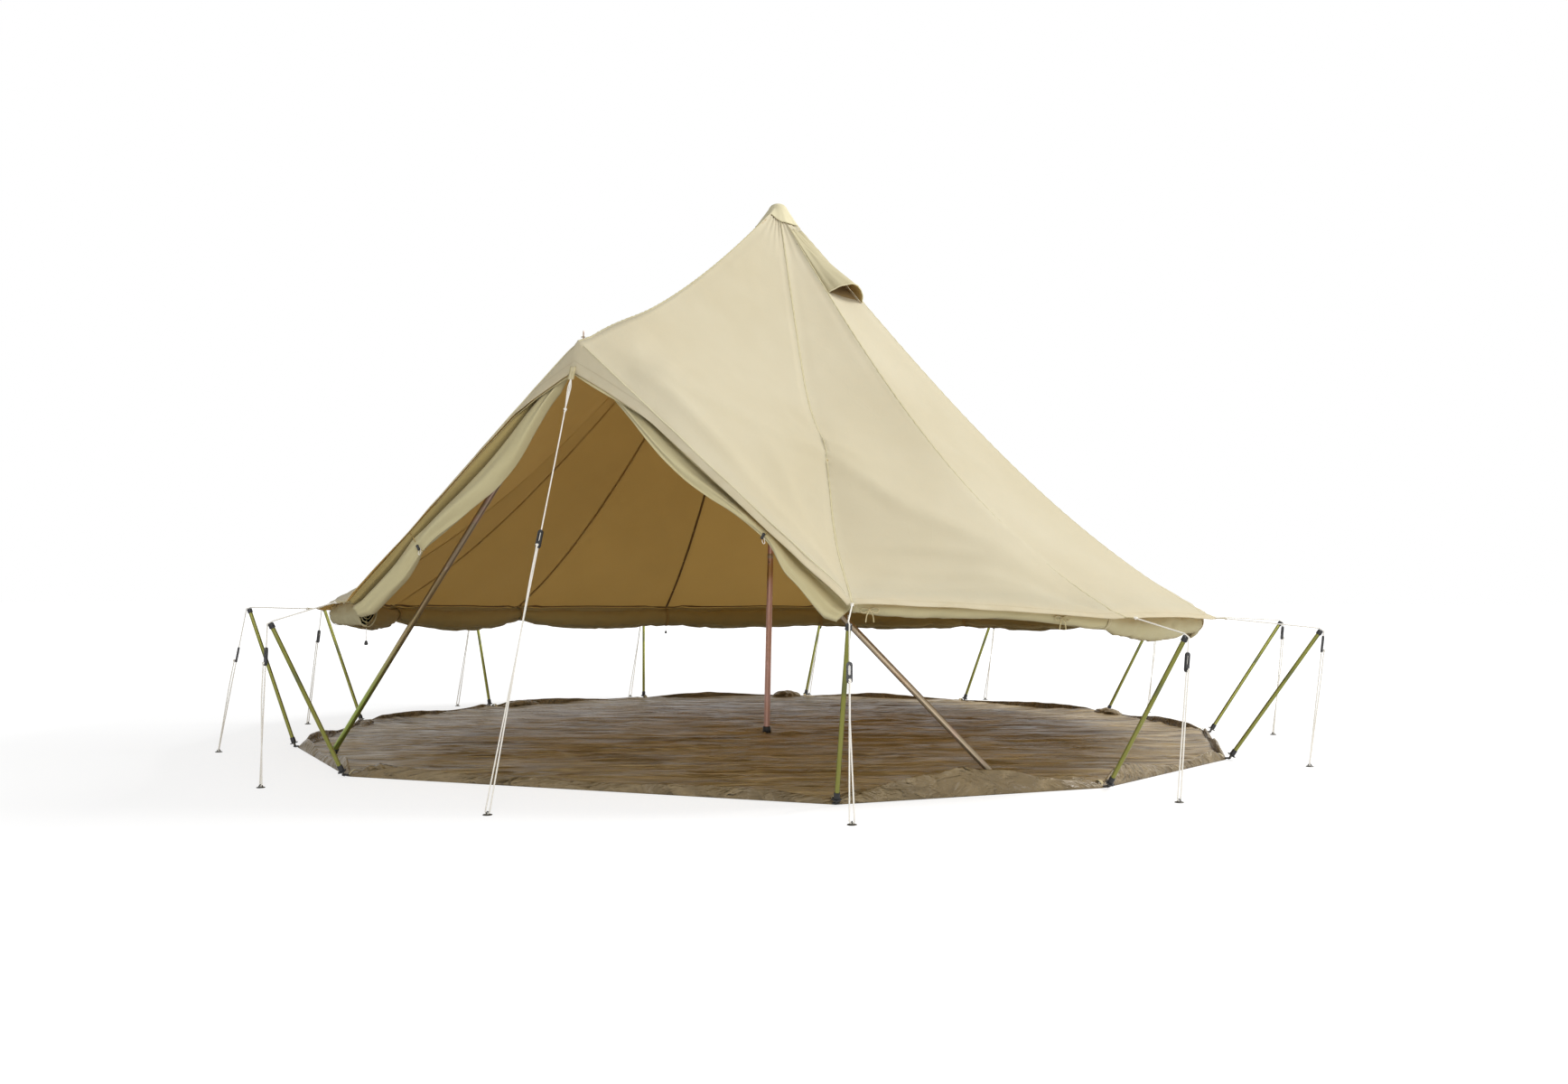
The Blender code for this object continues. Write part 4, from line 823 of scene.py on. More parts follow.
def drag_height(point):
    """Height of the long soft folds at a point of the roof; each falls away faster below than above."""
    height = 0.0
    for spots, length, above, below, size in DRAG_LINES:
        run, nearest, place = 0.0, None, 0.0
        for start, end in zip(spots, spots[1:]):
            step = end - start
            share = clamp((point - start).dot(step) / step.length_squared)
            off = point - start - step * share
            if nearest is None or off.length < nearest.length:
                nearest, place = off, run + step.length * share
            run += step.length
        steep = nearest.z / max(nearest.length, 1e-6)
        width = below + (above - below) * clamp(0.5 + steep)
        if nearest.length < width * 3:
            fade = clamp(min(place, length - place) / 0.30)
            height += size * bell(nearest.length, width) * fade
    return height


def corner_fan(x, y, seed):
    """Folds that spread from an eave corner, which the guy pulls on."""
    reach = math.hypot(x, y)
    return 0.0065 * math.sin(math.atan2(x, y) * 8.0 + seed * 2.1) * min(1.0, reach / 0.05) * bell(reach, 0.34)


def fold_height(p, across, share, width, low):
    """Height of the cloth's folds over the smooth roof, in metres."""
    x, y = across * width, max(0.0, (low - share)) * SEAM_LENGTH
    to_seam = min(x, width - x)
    calm = min(1.0, to_seam / 0.06)
    if is_gable(p):
        side = 0.0 if p == 0 else 3.0
        height = 0.008 * ripple(x, y * 0.7, 1 + side, 0.55) * calm * min(1.0, y / 0.15)
        height += 0.0022 * ripple(x * 1.3, y, 2 + side, 0.14) * calm
        height += corner_fan((1 - from_ridge(p, across)) * width, y, 1.0 + side)
    else:
        height = 0.007 * ripple(x * 1.4, y * 0.6, 5 + p, 0.42) * calm * min(1.0, 0.3 + y / 0.2)
        height += 0.0018 * ripple(x * 1.3, y, 30 + p, 0.12) * calm
        height += corner_fan(x, y, p * 0.7) + corner_fan(width - x, y, p * 0.7 + 1.3)
        height += 0.003 * math.cos(math.pi * 2 * (across - 0.5)) * bell(y, 0.10)
    height += 0.0013 * math.sin(2 * math.pi * y / 0.047 + p) * bell(to_seam, 0.022)
    height -= 0.0030 * bell(to_seam - 0.03, 0.022)
    gathers = math.sin(across * math.pi * (10 if is_gable(p) else 4) + p)
    return height + 0.0025 * bell(share - COLLAR_SHARE, 0.10) * gathers


# Every column of the roof sheet as (panel, share across it), from the ridge and round
COLUMNS = [(p, k / panel_steps(p)) for p in range(SIDE_POLES + 1) for k in range(panel_steps(p))]


def column_number(p, across):
    """Where a panel's share across lies among the columns."""
    return COLUMNS.index((p, 0.0)) + across * panel_steps(p)


def roof_rows():
    """Points of the roof sheet with its folds, in rows from the collar to the hem."""
    base = []
    for i in range(ROOF_ROWS + HEM_ROWS + 1):
        into_hem = max(0, i - ROOF_ROWS) / HEM_ROWS
        row = []
        for p, across in COLUMNS:
            hem = hem_share(p, across)
            if into_hem:
                row.append(roof_base(p, across, 1 - hem).lerp(roof_edge(p, across), into_hem))
            else:
                row.append(roof_base(p, across, row_share(i, hem)))
        base.append(row)
    rows = []
    for i, line in enumerate(base):
        row = []
        for j, (p, across) in enumerate(COLUMNS):
            hem = hem_share(p, across)
            share = row_share(i, hem)
            down = base[min(i + 1, len(base) - 1)][j] - base[max(i - 1, 0)][j]
            along = line[(j + 1) % len(COLUMNS)] - line[j - 1]
            width = panel_width(p, share)
            height = fold_height(p, across, share, width, 1 - hem)
            if p in (0, 1):
                from_edge = min(1.0, max(0.0, 1 - hem - share) * SEAM_LENGTH / 0.22)
                height += drag_height(line[j]) * from_edge * (2 - from_edge)
            if i > ROOF_ROWS:
                from_seam = min(1.0, across * 6, (1 - across) * 6)
                height += 0.0012 + 0.003 * ripple(across * width, 0.0, 60 + p, 0.16) * from_seam
            row.append(line[j] + down.cross(along).normalized() * height)
        rows.append(row)
    return rows


ROOF = roof_rows()


def roof_at(column, share, stand_off=0.0):
    """Point on the folded roof at a column number and a share of the way down, off its outer face."""
    place = row_place(share)
    i = max(0, min(len(ROOF) - 2, int(place)))
    down = clamp(place - i)
    j = math.floor(column)
    across = column - j
    j, k = j % len(COLUMNS), (j + 1) % len(COLUMNS)
    left, right = ROOF[i][j].lerp(ROOF[i + 1][j], down), ROOF[i][k].lerp(ROOF[i + 1][k], down)
    normal = (ROOF[i + 1][j] - ROOF[i][j]).cross(ROOF[i][k] - ROOF[i][j]).normalized()
    return left.lerp(right, across) + normal * stand_off


# Roof and what is sewn to it

def make_roof():
    """One continuous sheet from the collar to the eave's hem and the gable's valance."""
    count = len(COLUMNS)
    hem_length = (1 - HEM_SHARE) * SEAM_LENGTH
    widths = [[panel_width(p, row_share(i)) for p in range(SIDE_POLES + 1)] for i in range(ROOF_ROWS + 1)]

    def places(i, j, p, across):
        """Place on the panel's cloth, then the distances from its seam and from the lower edge."""
        row = min(i, ROOF_ROWS)
        width = widths[row][p]
        x, y = (across - 0.5) * width, hem_length * row / ROOF_ROWS
        low = (ROOF[-1][j] - ROOF[max(i, ROOF_ROWS)][j]).length
        if i < ROOF_ROWS:
            low += hem_length - y
        else:
            y += (ROOF[i][j] - ROOF[ROOF_ROWS][j]).length
        return x, -y, width / 2 - abs(x), low

    faces, corners = [], []
    for i in range(len(ROOF) - 1):
        for j, (p, across) in enumerate(COLUMNS):
            k = (j + 1) % count
            next_across = COLUMNS[k][1] or 1.0
            faces.append((i * count + j, (i + 1) * count + j, (i + 1) * count + k, i * count + k))
            corners += [places(i, j, p, across), places(i + 1, j, p, across),
                        places(i + 1, k, p, next_across), places(i, k, p, next_across)]
    mesh = mesh_of([point for row in ROOF for point in row], faces,
                   {"cloth": [place[:2] for place in corners], "edges": [place[2:] for place in corners]})
    # The inner face takes the inside copy of the canvas, which carries painted shade.
    made = piece("roof_sheet", mesh, (CANVAS_OUTSIDE, CANVAS_INSIDE_PAINTED_SHADE), ("roof_canopy",))
    return thicken(made, CLOTH, 1, -1.0)


def seam_strip(column, rows, half, section, outside):
    """Strip along a roof seam, on the cloth's outer face or under its inner one."""
    last = rows[-1] if outside else len(ROOF) - 1
    strip = []
    for i in rows:
        point = ROOF[i][column]
        left, right = ROOF[i][column - 1] - point, ROOF[i][(column + 1) % len(COLUMNS)] - point
        down = ROOF[min(i + 1, last)][column] - ROOF[i - 1 if outside else i][column]
        normal = down.cross(right - left).normalized()
        if not outside:
            point = point - normal * INSIDE
        room = min(half, left.length * 0.9) if outside and i < 12 else half
        left.normalize()
        right.normalize()
        strip.append([point + (left if off < 0 else right) * abs(off) * room + normal * height
                      for off, height in section])
    lengths = run_lengths([row[len(section) // 2] for row in strip])
    return skin(strip, lambda i, j: (section[j][0] * half, lengths[i]))


def make_seam_tapes():
    """Felled seams: a doubled strip, stitched down both sides, from under the cap to the eave."""
    for number in range(SIDE_POLES + 1):
        column = COLUMNS.index((number, 0.0))
        last = len(ROOF) - 1 if number else ROOF_ROWS
        mesh = seam_strip(column, range(3, last + 1), SEAM_TAPE_HALF, SEAM_TAPE_SECTION, True)
        piece("seam_tape_%02d" % number, mesh, (SEAM_TAPE,))


def make_inside_seams():
    """The seams' raw side, seen from inside, and the line where the wall is sewn to the roof."""
    for number in range(SIDE_POLES + 1):
        column = COLUMNS.index((number, 0.0))
        mesh = seam_strip(column, range(8, ROOF_ROWS - 2, 2), INSIDE_TAPE_HALF, INSIDE_TAPE_SECTION, False)
        # Seams away from the doorway take the dark tape, painted shade; those beside it take the inside
        # canvas.
        tape = INSIDE_TAPE_PAINTED_SHADE if 1 < number < SIDE_POLES - 3 else CANVAS_INSIDE_PAINTED_SHADE
        thicken(piece("inside_seam_%02d" % number, mesh, (tape,)), 0.0008)
    share = 1 - (ROLL_INSET + 0.022) / SEAM_LENGTH
    rows = []
    for column in range(COLUMNS.index((1, 0.0)) + 1, COLUMNS.index((SIDE_POLES, 0.0))):
        upper, lower = (roof_at(column, share + step, -INSIDE) for step in (-0.0028, 0.0028))
        rows.append([upper, upper.lerp(lower, 0.5) - UP * 0.0018, lower])
    lengths = run_lengths([row[1] for row in rows])
    mesh = skin(rows, lambda i, j: ((j - 1) * 0.009, lengths[i]))
    thicken(piece("inside_eave_seam", mesh, (INSIDE_TAPE_PAINTED_SHADE,)), 0.0008)


def make_peak_cap():
    """Rounded cap of doubled canvas over the top, drawn in at its seams."""
    around = angles(CAP_AROUND)
    rows = [[PEAK_SHIFT + radial(turn) * radius + UP * height for turn in around] for radius, height in CROWN]
    low = ROOF[round(row_place(CAP_SHARE))]
    turns = [math.atan2(point.y - PEAK_SHIFT.y, point.x - PEAK_SHIFT.x) for point in low]
    hem = []
    for turn in around:
        near = low[min(range(len(low)), key=lambda j: abs(math.remainder(turns[j] - turn, 2 * math.pi)))]
        hem.append(Vector(((near - PEAK_SHIFT - UP * near.z).length + 0.0035, near.z + 0.003)))
    for _ in range(3):
        hem = [(hem[k - 1] + hem[k] + hem[(k + 1) % CAP_AROUND]) / 3 for k in range(CAP_AROUND)]
    for step in range(1, 9):
        share = step / 8
        row = []
        for turn, edge in zip(around, hem):
            radius, height = Vector(CROWN[-1]).lerp(edge, share)
            pucker = 1 + 0.0020 * math.sin(turn * CAP_PUCKERS) * share
            row.append(PEAK_SHIFT + radial(turn) * radius * pucker + UP * height)
        rows.append(row)
    mesh = skin(rows, lambda i, j: (j * 0.004, i * 0.012), wrap=True)
    made = piece("peak_cap_cloth", mesh, (CANVAS_CAP, CANVAS_INSIDE_PAINTED_SHADE), ("peak_cap",))
    thicken(made, 0.002, 1, -1.0)
    button = turned([(0.0, 3.0092), (0.004, 3.0090), (0.0055, 3.0083), (0.0055, 3.0070), (0.0, 3.0070)], 16)
    piece("peak_cap_button", button, (CANVAS_CAP,), matrix=Matrix.Translation(PEAK_SHIFT))
    binding = [point + (point - PEAK_SHIFT - UP * point.z).normalized() * 0.001 for point in rows[-1]]
    piece("peak_cap_binding", swept(binding + binding[:1], 0.0016, 6), (SEAM_TAPE,))


def make_vent(name, panel):
    """Hood over a vent: sewn down its sides, arched open at its lip, netting under it."""
    steps, rows_down = 36, 24
    rows = []
    for r in range(rows_down + 1):
        down = r / rows_down
        row = []
        for k in range(steps + 1):
            arch = math.sin(math.pi * k / steps)
            lift = VENT_LIFT * arch ** 0.75 * down ** 1.5
            lift += 0.005 * ripple(k * 0.03, r * 0.02, panel, 0.12) * arch
            column = column_number(panel, 0.02 + 0.92 * k / steps)
            row.append(roof_at(column, VENT_TOP + VENT_RUN * down, CLOTH + lift))
        rows.append(row)
    mesh = skin(rows, lambda i, j: ((j / steps - 0.5) * 0.30, -i / rows_down * 0.55))
    # The hood's inner face takes the darker copy, painted shade.
    made = piece("vent_hood_%s_cloth" % name, mesh, (CANVAS_VENT, CANVAS_VENT_INSIDE_PAINTED_SHADE),
                 ("vent_hood_" + name,))
    thicken(made, 0.0018, 1, -1.0)
    piece("vent_lip_" + name, swept(rows[-1], 0.0034), (CANVAS_CAP,))
    net = []
    for r in range(9):
        spread = 0.75 * (0.5 + 0.5 * r / 8)
        net.append([roof_at(column_number(panel, 0.5 + (k / 8 - 0.5) * spread), 0.085 + 0.137 * r / 8, 0.0012)
                    for k in range(9)])
    piece("vent_net_" + name, skin(net, lambda i, j: (j * 0.02, -i * 0.06)), (VENT_NET,))


def make_valance_lining():
    """Second layer of the gable's valance, which shows below and behind the first."""
    reach = int(FRONT_STEPS * 0.62)
    rows = []
    for r in range(9):
        row = []
        for j in range(-reach, reach + 1):
            top, low = ROOF[ROOF_ROWS - 2][j], ROOF[-1][j]
            fall = (low - top) * (r / 8) * (1.06 + 0.05 * math.sin(j * 0.35))
            inward = BACK * (0.006 + 0.010 * r / 8 + 0.003 * math.sin(j * 0.5 + r * 0.3))
            row.append(top + fall + inward - UP * 0.002)
        rows.append(row)
    mesh = skin(rows, lambda i, j: (j * 0.03, -i * 0.02))
    thicken(piece("valance_lining", mesh, (CANVAS_ROLLED, CANVAS_INSIDE_PAINTED_SHADE)), 0.0015, 1, -1.0)


def make_gable_piping():
    """The gable's edge, where the roof turns down into the valance: a doubled, stitched fold."""
    for side, name in SIDES:
        line = [ROOF[ROOF_ROWS][side * k] + Vector((0, -0.0002, 0.0006)) for k in range(1, FRONT_STEPS)]
        sizes = [0.0026 * min(1.0, (k + 1) / 4, (len(line) - k) / 4) for k in range(len(line))]
        piece("gable_fold_" + name, swept(line, sizes), (CANVAS_CAP,))


# Wall and door rolls

def ring_frame(place):
    """Crest, inward direction, depth, fullness and squeeze of the rolled wall; whole places are poles."""
    panel = min(int(place), SIDE_POLES - 2)
    phase = place - panel
    column = column_number(panel + 1, min(0.999, max(0.001, phase)))
    crest = roof_at(column, 1 - ROLL_INSET / SEAM_LENGTH, -CLOTH - 0.004)
    inward = PEAK_SHIFT - crest
    inward.z = 0.0
    tied = TIE_DROPS[panel] + (TIE_DROPS[panel + 1] - TIE_DROPS[panel]) * phase
    fullness = math.sin(math.pi * phase)
    depth = tied + (ROLL_DROPS[panel] - tied) * fullness
    return crest, inward.normalized(), depth, fullness, 0.74 + 0.26 * fullness


def roll_section(place):
    """Spiral outline of the wound wall, from its seam round and into its middle."""
    crest, inward, depth, fullness, squeeze = ring_frame(place)
    half_wide = (ROLL_OUTER + ROLL_INNER) / 2 * squeeze
    centre = crest + inward * (ROLL_INNER - ROLL_OUTER) / 2 * squeeze - UP * (depth / 2 + 0.004)
    outline = [crest + inward * 0.002 + UP * 0.003]
    arc = place * PANEL_SPAN
    for k in range(ROLL_POINTS + 1):
        t = k / ROLL_POINTS * ROLL_TURNS
        angle = 2 * math.pi * t - math.pi * 0.5
        size = (1 - 0.215 * t) * (1 + 0.06 * math.cos(2 * angle))
        crease = 0.012 * ripple(arc * 1.1 + t * 0.05, t * 0.33, 80 + int(t), 0.26)
        crease += 0.0065 * ripple(arc, t * 0.4, 90, 0.07)
        slant = 0.5 - abs(ripple(arc - t * 0.30, t * 0.10, 95, 0.17))
        crease -= 0.014 * max(0.0, slant - 0.38) / 0.12
        crease *= 0.45 + 0.55 * fullness
        crease += 0.0040 * bell(fullness, 0.35) * math.sin(angle * 7 + arc * 40)
        crease -= 0.008 * bell((t % 1.0) - 0.30 - 0.06 * math.sin(arc * 5), 0.035) * fullness
        crease *= 1 if t < 1.2 else 0.4
        if math.sin(angle) < -0.7 and t < 0.3:
            crease *= 0.6
        outline.append(centre - inward * math.cos(angle) * (half_wide * size + crease)
                       + UP * math.sin(angle) * (depth / 2 * size + crease))
    return outline


def make_wall_roll():
    """The wall as one sheet wound inwards on itself and tied up at every pole."""
    sections = [roll_section(k / ROLL_STEPS) for k in range((SIDE_POLES - 1) * ROLL_STEPS + 1)]

    def uv(i, j):
        t = max(0.0, (i - 1) / ROLL_POINTS * ROLL_TURNS)
        # The side map's first number marks the roll's side that faces the tent's middle, which gets painted
        # shade.
        inner = 0.5 - 0.5 * math.cos(2 * math.pi * t - math.pi * 0.5)
        return j * 0.046, i * 0.011, inner, 0.5

    mesh = skin(list(zip(*sections)), uv, uv_names=("cloth", "side"))
    made = piece("wall_roll_cloth", mesh, (CANVAS_ROLLED,), ("wall_roll",))
    thicken(made, 0.0016, 0, -1.0)


def make_roll_tie(number, place):
    """Tape tie round the rolled wall at a pole."""
    crest, inward, depth, fullness, squeeze = ring_frame(place)
    half_wide = (ROLL_OUTER + ROLL_INNER) / 2 * squeeze + 0.004
    half_deep = depth / 2 + 0.003
    centre = crest + inward * (ROLL_INNER - ROLL_OUTER) / 2 * squeeze - UP * depth / 2
    rows = []
    for k in range(31):
        angle = 2 * math.pi * k / 30 - math.pi / 2
        spot = centre - inward * math.cos(angle) * half_wide - UP * math.sin(angle) * half_deep
        rows.append([spot + inward.cross(UP) * w for w in (-0.009, -0.0045, 0.0, 0.0045, 0.009)])
    # Ties at the back take the darker copy of the canvas: painted shade of the interior.
    tape = CANVAS_ROLLED_PAINTED_SHADE if 2 < number < 11 else CANVAS_TAPE
    mesh = skin(rows, lambda i, j: ((j - 2) * 0.0045, i * 0.012))
    thicken(piece("roll_tie_%02d" % number, mesh, (tape,)), 0.0014)


def make_tie_ends(number, place):
    """Bow and ends of a tape tie, on the front of the rolled wall."""
    crest, inward, depth, fullness, squeeze = ring_frame(place)
    spot = crest - inward * (ROLL_OUTER * squeeze + 0.004) - UP * (depth * 0.34 + 0.032)
    parts = []
    for along in (UP.cross(inward), inward.cross(UP)):
        bow = [spot, spot + along * 0.020 + UP * 0.008, spot + along * 0.038 + UP * 0.003,
               spot + along * 0.026 - UP * 0.012, spot]
        end = [spot, spot - UP * 0.022 + along * 0.012 - inward * 0.004,
               spot - UP * 0.048 + along * 0.016 - inward * 0.003]
        parts += [(swept(smooth_line(line, 6), 0.0024), None, CANVAS_TAPE) for line in (bow, end)]
    knot = turned([(0, -0.006), (0.004, -0.0045), (0.0055, 0.0), (0.004, 0.0045), (0, 0.006)], 14)
    parts.append((knot, Matrix.Translation(spot), CANVAS_TAPE))
    piece("tie_ends_%02d" % number, merged(parts), ())


def flap_frame(position, side):
    """Crest and directions of a gathered door flap, at a share of the way along the gable's edge."""
    across = min(1.0, position) if side > 0 else max(0.0, 1 - position)
    crest = roof_base(0 if side > 0 else SIDE_POLES, across, 1 - 0.022 / SEAM_LENGTH) - UP * 0.006
    edge = (door_corner(side) - GABLE_APEX).normalized()
    down = edge.cross(BACK * side).normalized()
    if down.z > 0:
        down.negate()
    return crest, edge, down


def flap_drop(position, side):
    """Depth of a flap, eased between its stations."""
    drops = FLAP_DROPS[side]
    k = 0
    while k < len(drops) - 2 and position > FLAP_STATIONS[k + 1]:
        k += 1
    share = clamp((position - FLAP_STATIONS[k]) / (FLAP_STATIONS[k + 1] - FLAP_STATIONS[k]))
    return drops[k] + (drops[k + 1] - drops[k]) * (1 - math.cos(math.pi * share)) / 2


def flap_ring(position, side, ends):
    """Outline of a gathered flap, in long soft folds that the tie draws together."""
    crest, edge, down = flap_frame(position, side)
    depth = flap_drop(position, side) * (0.75 + 0.25 * ends)
    reach = FLAP_REACH[side] * (1 - 0.5 * bell(position - FLAP_TIE, 0.03)) * (0.4 + 0.6 * ends)
    away = min(1.0, abs(position - FLAP_TIE) / 0.10)
    knots = []
    for n, (fall, run) in enumerate(FLAP_SECTION[side]):
        wander = 0.13 * ripple(position * 2.2, n * 0.16, 70 + side, 0.40) * away
        fold = 0.12 * math.sin(n * 2.4 + position * 7.0 + side) * away
        gather = 0.10 * math.sin(n * 2.9) * (1 - away)
        sway = 1 + 0.05 * ripple(position * 2.2, n * 0.1, 77 + side, 0.2)
        inward = BACK * reach * (run + wander + (fold + gather) * (0.4 + fall))
        knots.append(crest + down * depth * fall * sway + inward)
    return smooth_line(knots, FLAP_FINE, closed=True)


def make_door_flap(name, side):
    """A door flap drawn back along the gable's edge, and its tie."""
    first = FLAP_STATIONS[0] - 0.03
    rows = []
    for k in range(FLAP_STEPS + 1):
        ends = min(1.0, (k + 1) / 8, (FLAP_STEPS - k + 1) / 5)
        rows.append(flap_ring(first + (1.0 - first) * k / FLAP_STEPS, side, ends))

    def uv(i, j):
        # The side map's first number marks where the flap gets the shaded tone, painted shade: its inward
        # part, and on the left flap also its outer band by the crest.
        painted_shade_share = (j - FLAP_FINE * 9) / (FLAP_FINE * 3)
        if side < 0:
            painted_shade_share = max(painted_shade_share, (FLAP_FINE * 3.6 - j) / FLAP_FINE)
        return j * 0.004, -i * 0.015, clamp(painted_shade_share), 0.5

    mesh = outward(skin(rows, uv, wrap=True, caps=True, uv_names=("cloth", "side")))
    piece("door_flap_" + name, mesh, (CANVAS_ROLLED,), ("door_roll_" + name,))
    crest, edge, down = flap_frame(FLAP_TIE, side)
    depth = flap_drop(FLAP_TIE, side)
    loop = []
    for k in range(25):
        angle = 2 * math.pi * k / 24
        reach = 0.030 if math.sin(angle) > 0 else 0.012
        loop.append(crest + down * (depth * (0.52 - 0.52 * math.cos(angle)))
                    + BACK * (math.sin(angle) * reach + 0.006) + edge * 0.004 * math.sin(angle * 2))
    hang = crest + down * (depth * 0.9) - BACK * 0.012
    tail = [hang + edge * along - UP * fall for along, fall in ((0.004, 0), (0.010, 0.016), (0.001, 0.026),
                                                                (-0.006, 0.016), (-0.003, 0))]
    # The loop takes the darker copy of the canvas, painted shade.
    mesh = merged([(swept(loop, 0.0016), None, CANVAS_ROLLED_PAINTED_SHADE),
                   (swept(smooth_line(tail, 6), 0.0014), None, ROPE)])
    piece("door_tie_" + name, mesh, ())


# Poles

def star_flange(radius, thickness):
    """Moulded foot flange with eight rounded lobes."""
    rows = []
    for size, level in ((0.0, 0.0), (1.0, 0.0), (1.0, 0.7), (0.92, 1.0), (0.45, 1.4), (0.0, 1.4)):
        row = []
        for turn in angles(48):
            lobe = 1 - 0.16 * (0.5 - 0.5 * math.cos(8 * turn)) if size > 0.6 else 1.0
            row.append(radial(turn) * radius * size * lobe + UP * thickness * level)
        rows.append(row)
    return outward(skin(rows, lambda i, j: (j * 0.002, i * 0.002), wrap=True, caps=True))


def make_side_poles():
    """Twelve tubes with a black cap, a star flange and a steel foot spike."""
    tube = ((0, 0.026), (0.0095, 0.026), (0.0095, 0.7255), (0.0095, 0.730), (0, 0.730))
    sleeve = ((0.0098, 0.030), (0.0122, 0.0305), (0.0122, 0.052), (0.0112, 0.056), (0.0097, 0.0565))
    cap = ((0.0098, 0.7275), (0.0120, 0.7275), (0.0125, 0.7290), (0.0125, 0.7462), (0.0115, 0.7488),
           (0.0085, 0.7500), (0, 0.7500))
    rim = ((0.0100, 0.7285), (0.0131, 0.7285), (0.0131, 0.7315), (0.0124, 0.7325))
    spike = ((0, 0.0), (0.0012, 0.0008), (0.0030, 0.003), (0.0060, 0.016), (0.0062, 0.027), (0, 0.027))
    mesh = merged([(turned(tube), None, POLE_STEEL), (turned(sleeve), None, BLACK_PLASTIC),
                   (turned(cap), None, BLACK_PLASTIC), (turned(rim), None, BLACK_PLASTIC),
                   (turned(spike, 16), None, FITTING_STEEL),
                   (star_flange(0.0200, 0.004), Matrix.Translation((0, 0, 0.024)), BLACK_PLASTIC)])
    for i in range(SIDE_POLES):
        tag = "pole_%02d" % (i + 1)
        matrix = frame_at(pole_foot(i), pole_axis(i), radial(pole_azimuth(i)))
        piece(tag, mesh, (), ("side_" + tag,), matrix=matrix)


def dress_frame_solids():
    """The pole sections and the runners keep the frame's own shape and get their finish."""
    finishes = (("centre_pole", CENTRE_STEEL), ("a_frame_left_lower", GREEN_LEG_STEEL),
                ("a_frame", LEG_STEEL), ("rope_runner", BLACK_PLASTIC))
    for name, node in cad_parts.items():
        finish = next((material for start, material in finishes if name.startswith(start)), None)
        if finish is None:
            continue
        for slot in node.material_slots:
            slot.material = finish
        if finish is BLACK_PLASTIC:
            edge = node.modifiers.new("moulded edge", "BEVEL")
            edge.width = 0.0010
            edge.segments = 2
            edge.limit_method = "ANGLE"
            edge.angle_limit = math.radians(40)


def tube_fittings(tube, foot, axis, joints, face, near):
    """A tube's rubber boot, its swaged joints, and the spring button below each joint."""
    radius, ridge, boot, button = tube
    bottom, top = radius + 0.0001, radius + ridge
    ring = ((bottom, -0.012), (top, -0.010), (top, 0.010), (bottom, 0.012))
    parts = [(turned(boot, 32), frame_at(foot, axis), BLACK_PLASTIC)]
    for joint in joints:
        spot = foot + axis * (joint - BUTTON_BELOW_JOINT) + face * (radius - 0.0002)
        parts += [(turned(ring, 32), frame_at(foot + axis * joint, axis), LEG_STEEL),
                  (turned(button, 16), frame_at(spot, face, near), FITTING_STEEL)]
    return parts


def make_tube_fittings():
    """Rubber feet and the swaged joints of the centre pole and the A-frame's legs."""
    span = CENTRE_HEAD - CENTRE_FOOT
    joints = (span.length / 3, span.length * 2 / 3)
    parts = tube_fittings(CENTRE_TUBE, CENTRE_FOOT, span.normalized(), joints, FRONT, UP)
    piece("centre_pole_fittings", merged(parts), ())
    parts = []
    for side in (1, -1):
        foot = Vector((side * LEG_FOOT[0], *LEG_FOOT[1:]))
        span = HUB - foot
        axis = span.normalized()
        face = (FRONT - axis * axis.dot(FRONT)).normalized()
        parts += tube_fittings(LEG_TUBE, foot, axis, ((span.length - HUB_SLEEVE) / 2,), face, axis)
    eyelet = turned([(0.0034, 0), (0.0095, 0.0002), (0.0098, 0.0012), (0.0060, 0.0022), (0.0034, 0.0022)], 24)
    parts.append((eyelet, frame_at(Vector((0, -2.17, 1.8605)), UP), BRASS))
    piece("a_frame_fittings", merged(parts), ())


# Groundsheet

def sheet_corner(i):
    return radial(pole_azimuth(i)) * (FOOT_CIRCLE - SHEET_INSET)


def sheet_edge(azimuth):
    """Distance from the middle to the sheet's straight-sided edge, the side, and the place along it."""
    turn = (azimuth - pole_azimuth(0)) % (2 * math.pi)
    panel = min(int(turn / POLE_STEP), SIDE_POLES - 1)
    half = (DOOR_SPAN if panel == SIDE_POLES - 1 else POLE_STEP) / 2
    off = turn - panel * POLE_STEP - half
    return (FOOT_CIRCLE - SHEET_INSET) * math.cos(half) / math.cos(off), panel, (off + half) / (2 * half)


def wall_height(panel, phase):
    """Height of the groundsheet's wall: each panel has slumped in its own way."""
    tall = WALL_HEIGHTS[panel]
    if panel == 0:
        slope = phase / WALL_TOP_PLACE if phase < WALL_TOP_PLACE else (1 - phase) / (1 - WALL_TOP_PLACE)
        return 0.030 + (tall - 0.030) * slope * slope * (3 - 2 * slope)
    if panel == SIDE_POLES - 1:
        return tall * (0.80 + 0.35 * (bell(phase - 0.07, 0.10) + 0.5 * bell(phase - 0.96, 0.16)))
    return tall * (0.80 + 0.35 * math.cos(2 * math.pi * (phase - 0.1 * panel)))


def wall_rows(places):
    """The groundsheet's wall, from the floor up its outside, over its top and down again."""
    rows = []
    for inset, level, bend in WALL_SECTION:
        row = []
        for azimuth, edge, phase, fullness, height, lean, run in places:
            buckle = 0.010 * noise_at(run * 7.0, level * 1.4, 2.0) * math.sin(math.pi * level) * fullness
            pleat = -0.009 * abs(noise_at(run * 14.0, level * 0.7, 6.0)) * (1.2 - fullness) * level
            distance = edge + inset + min(0.0, (lean * bend + buckle) * fullness + pleat)
            row.append(radial(azimuth) * distance + UP * max(0.0, height * level))
        rows.append(row)
    return rows


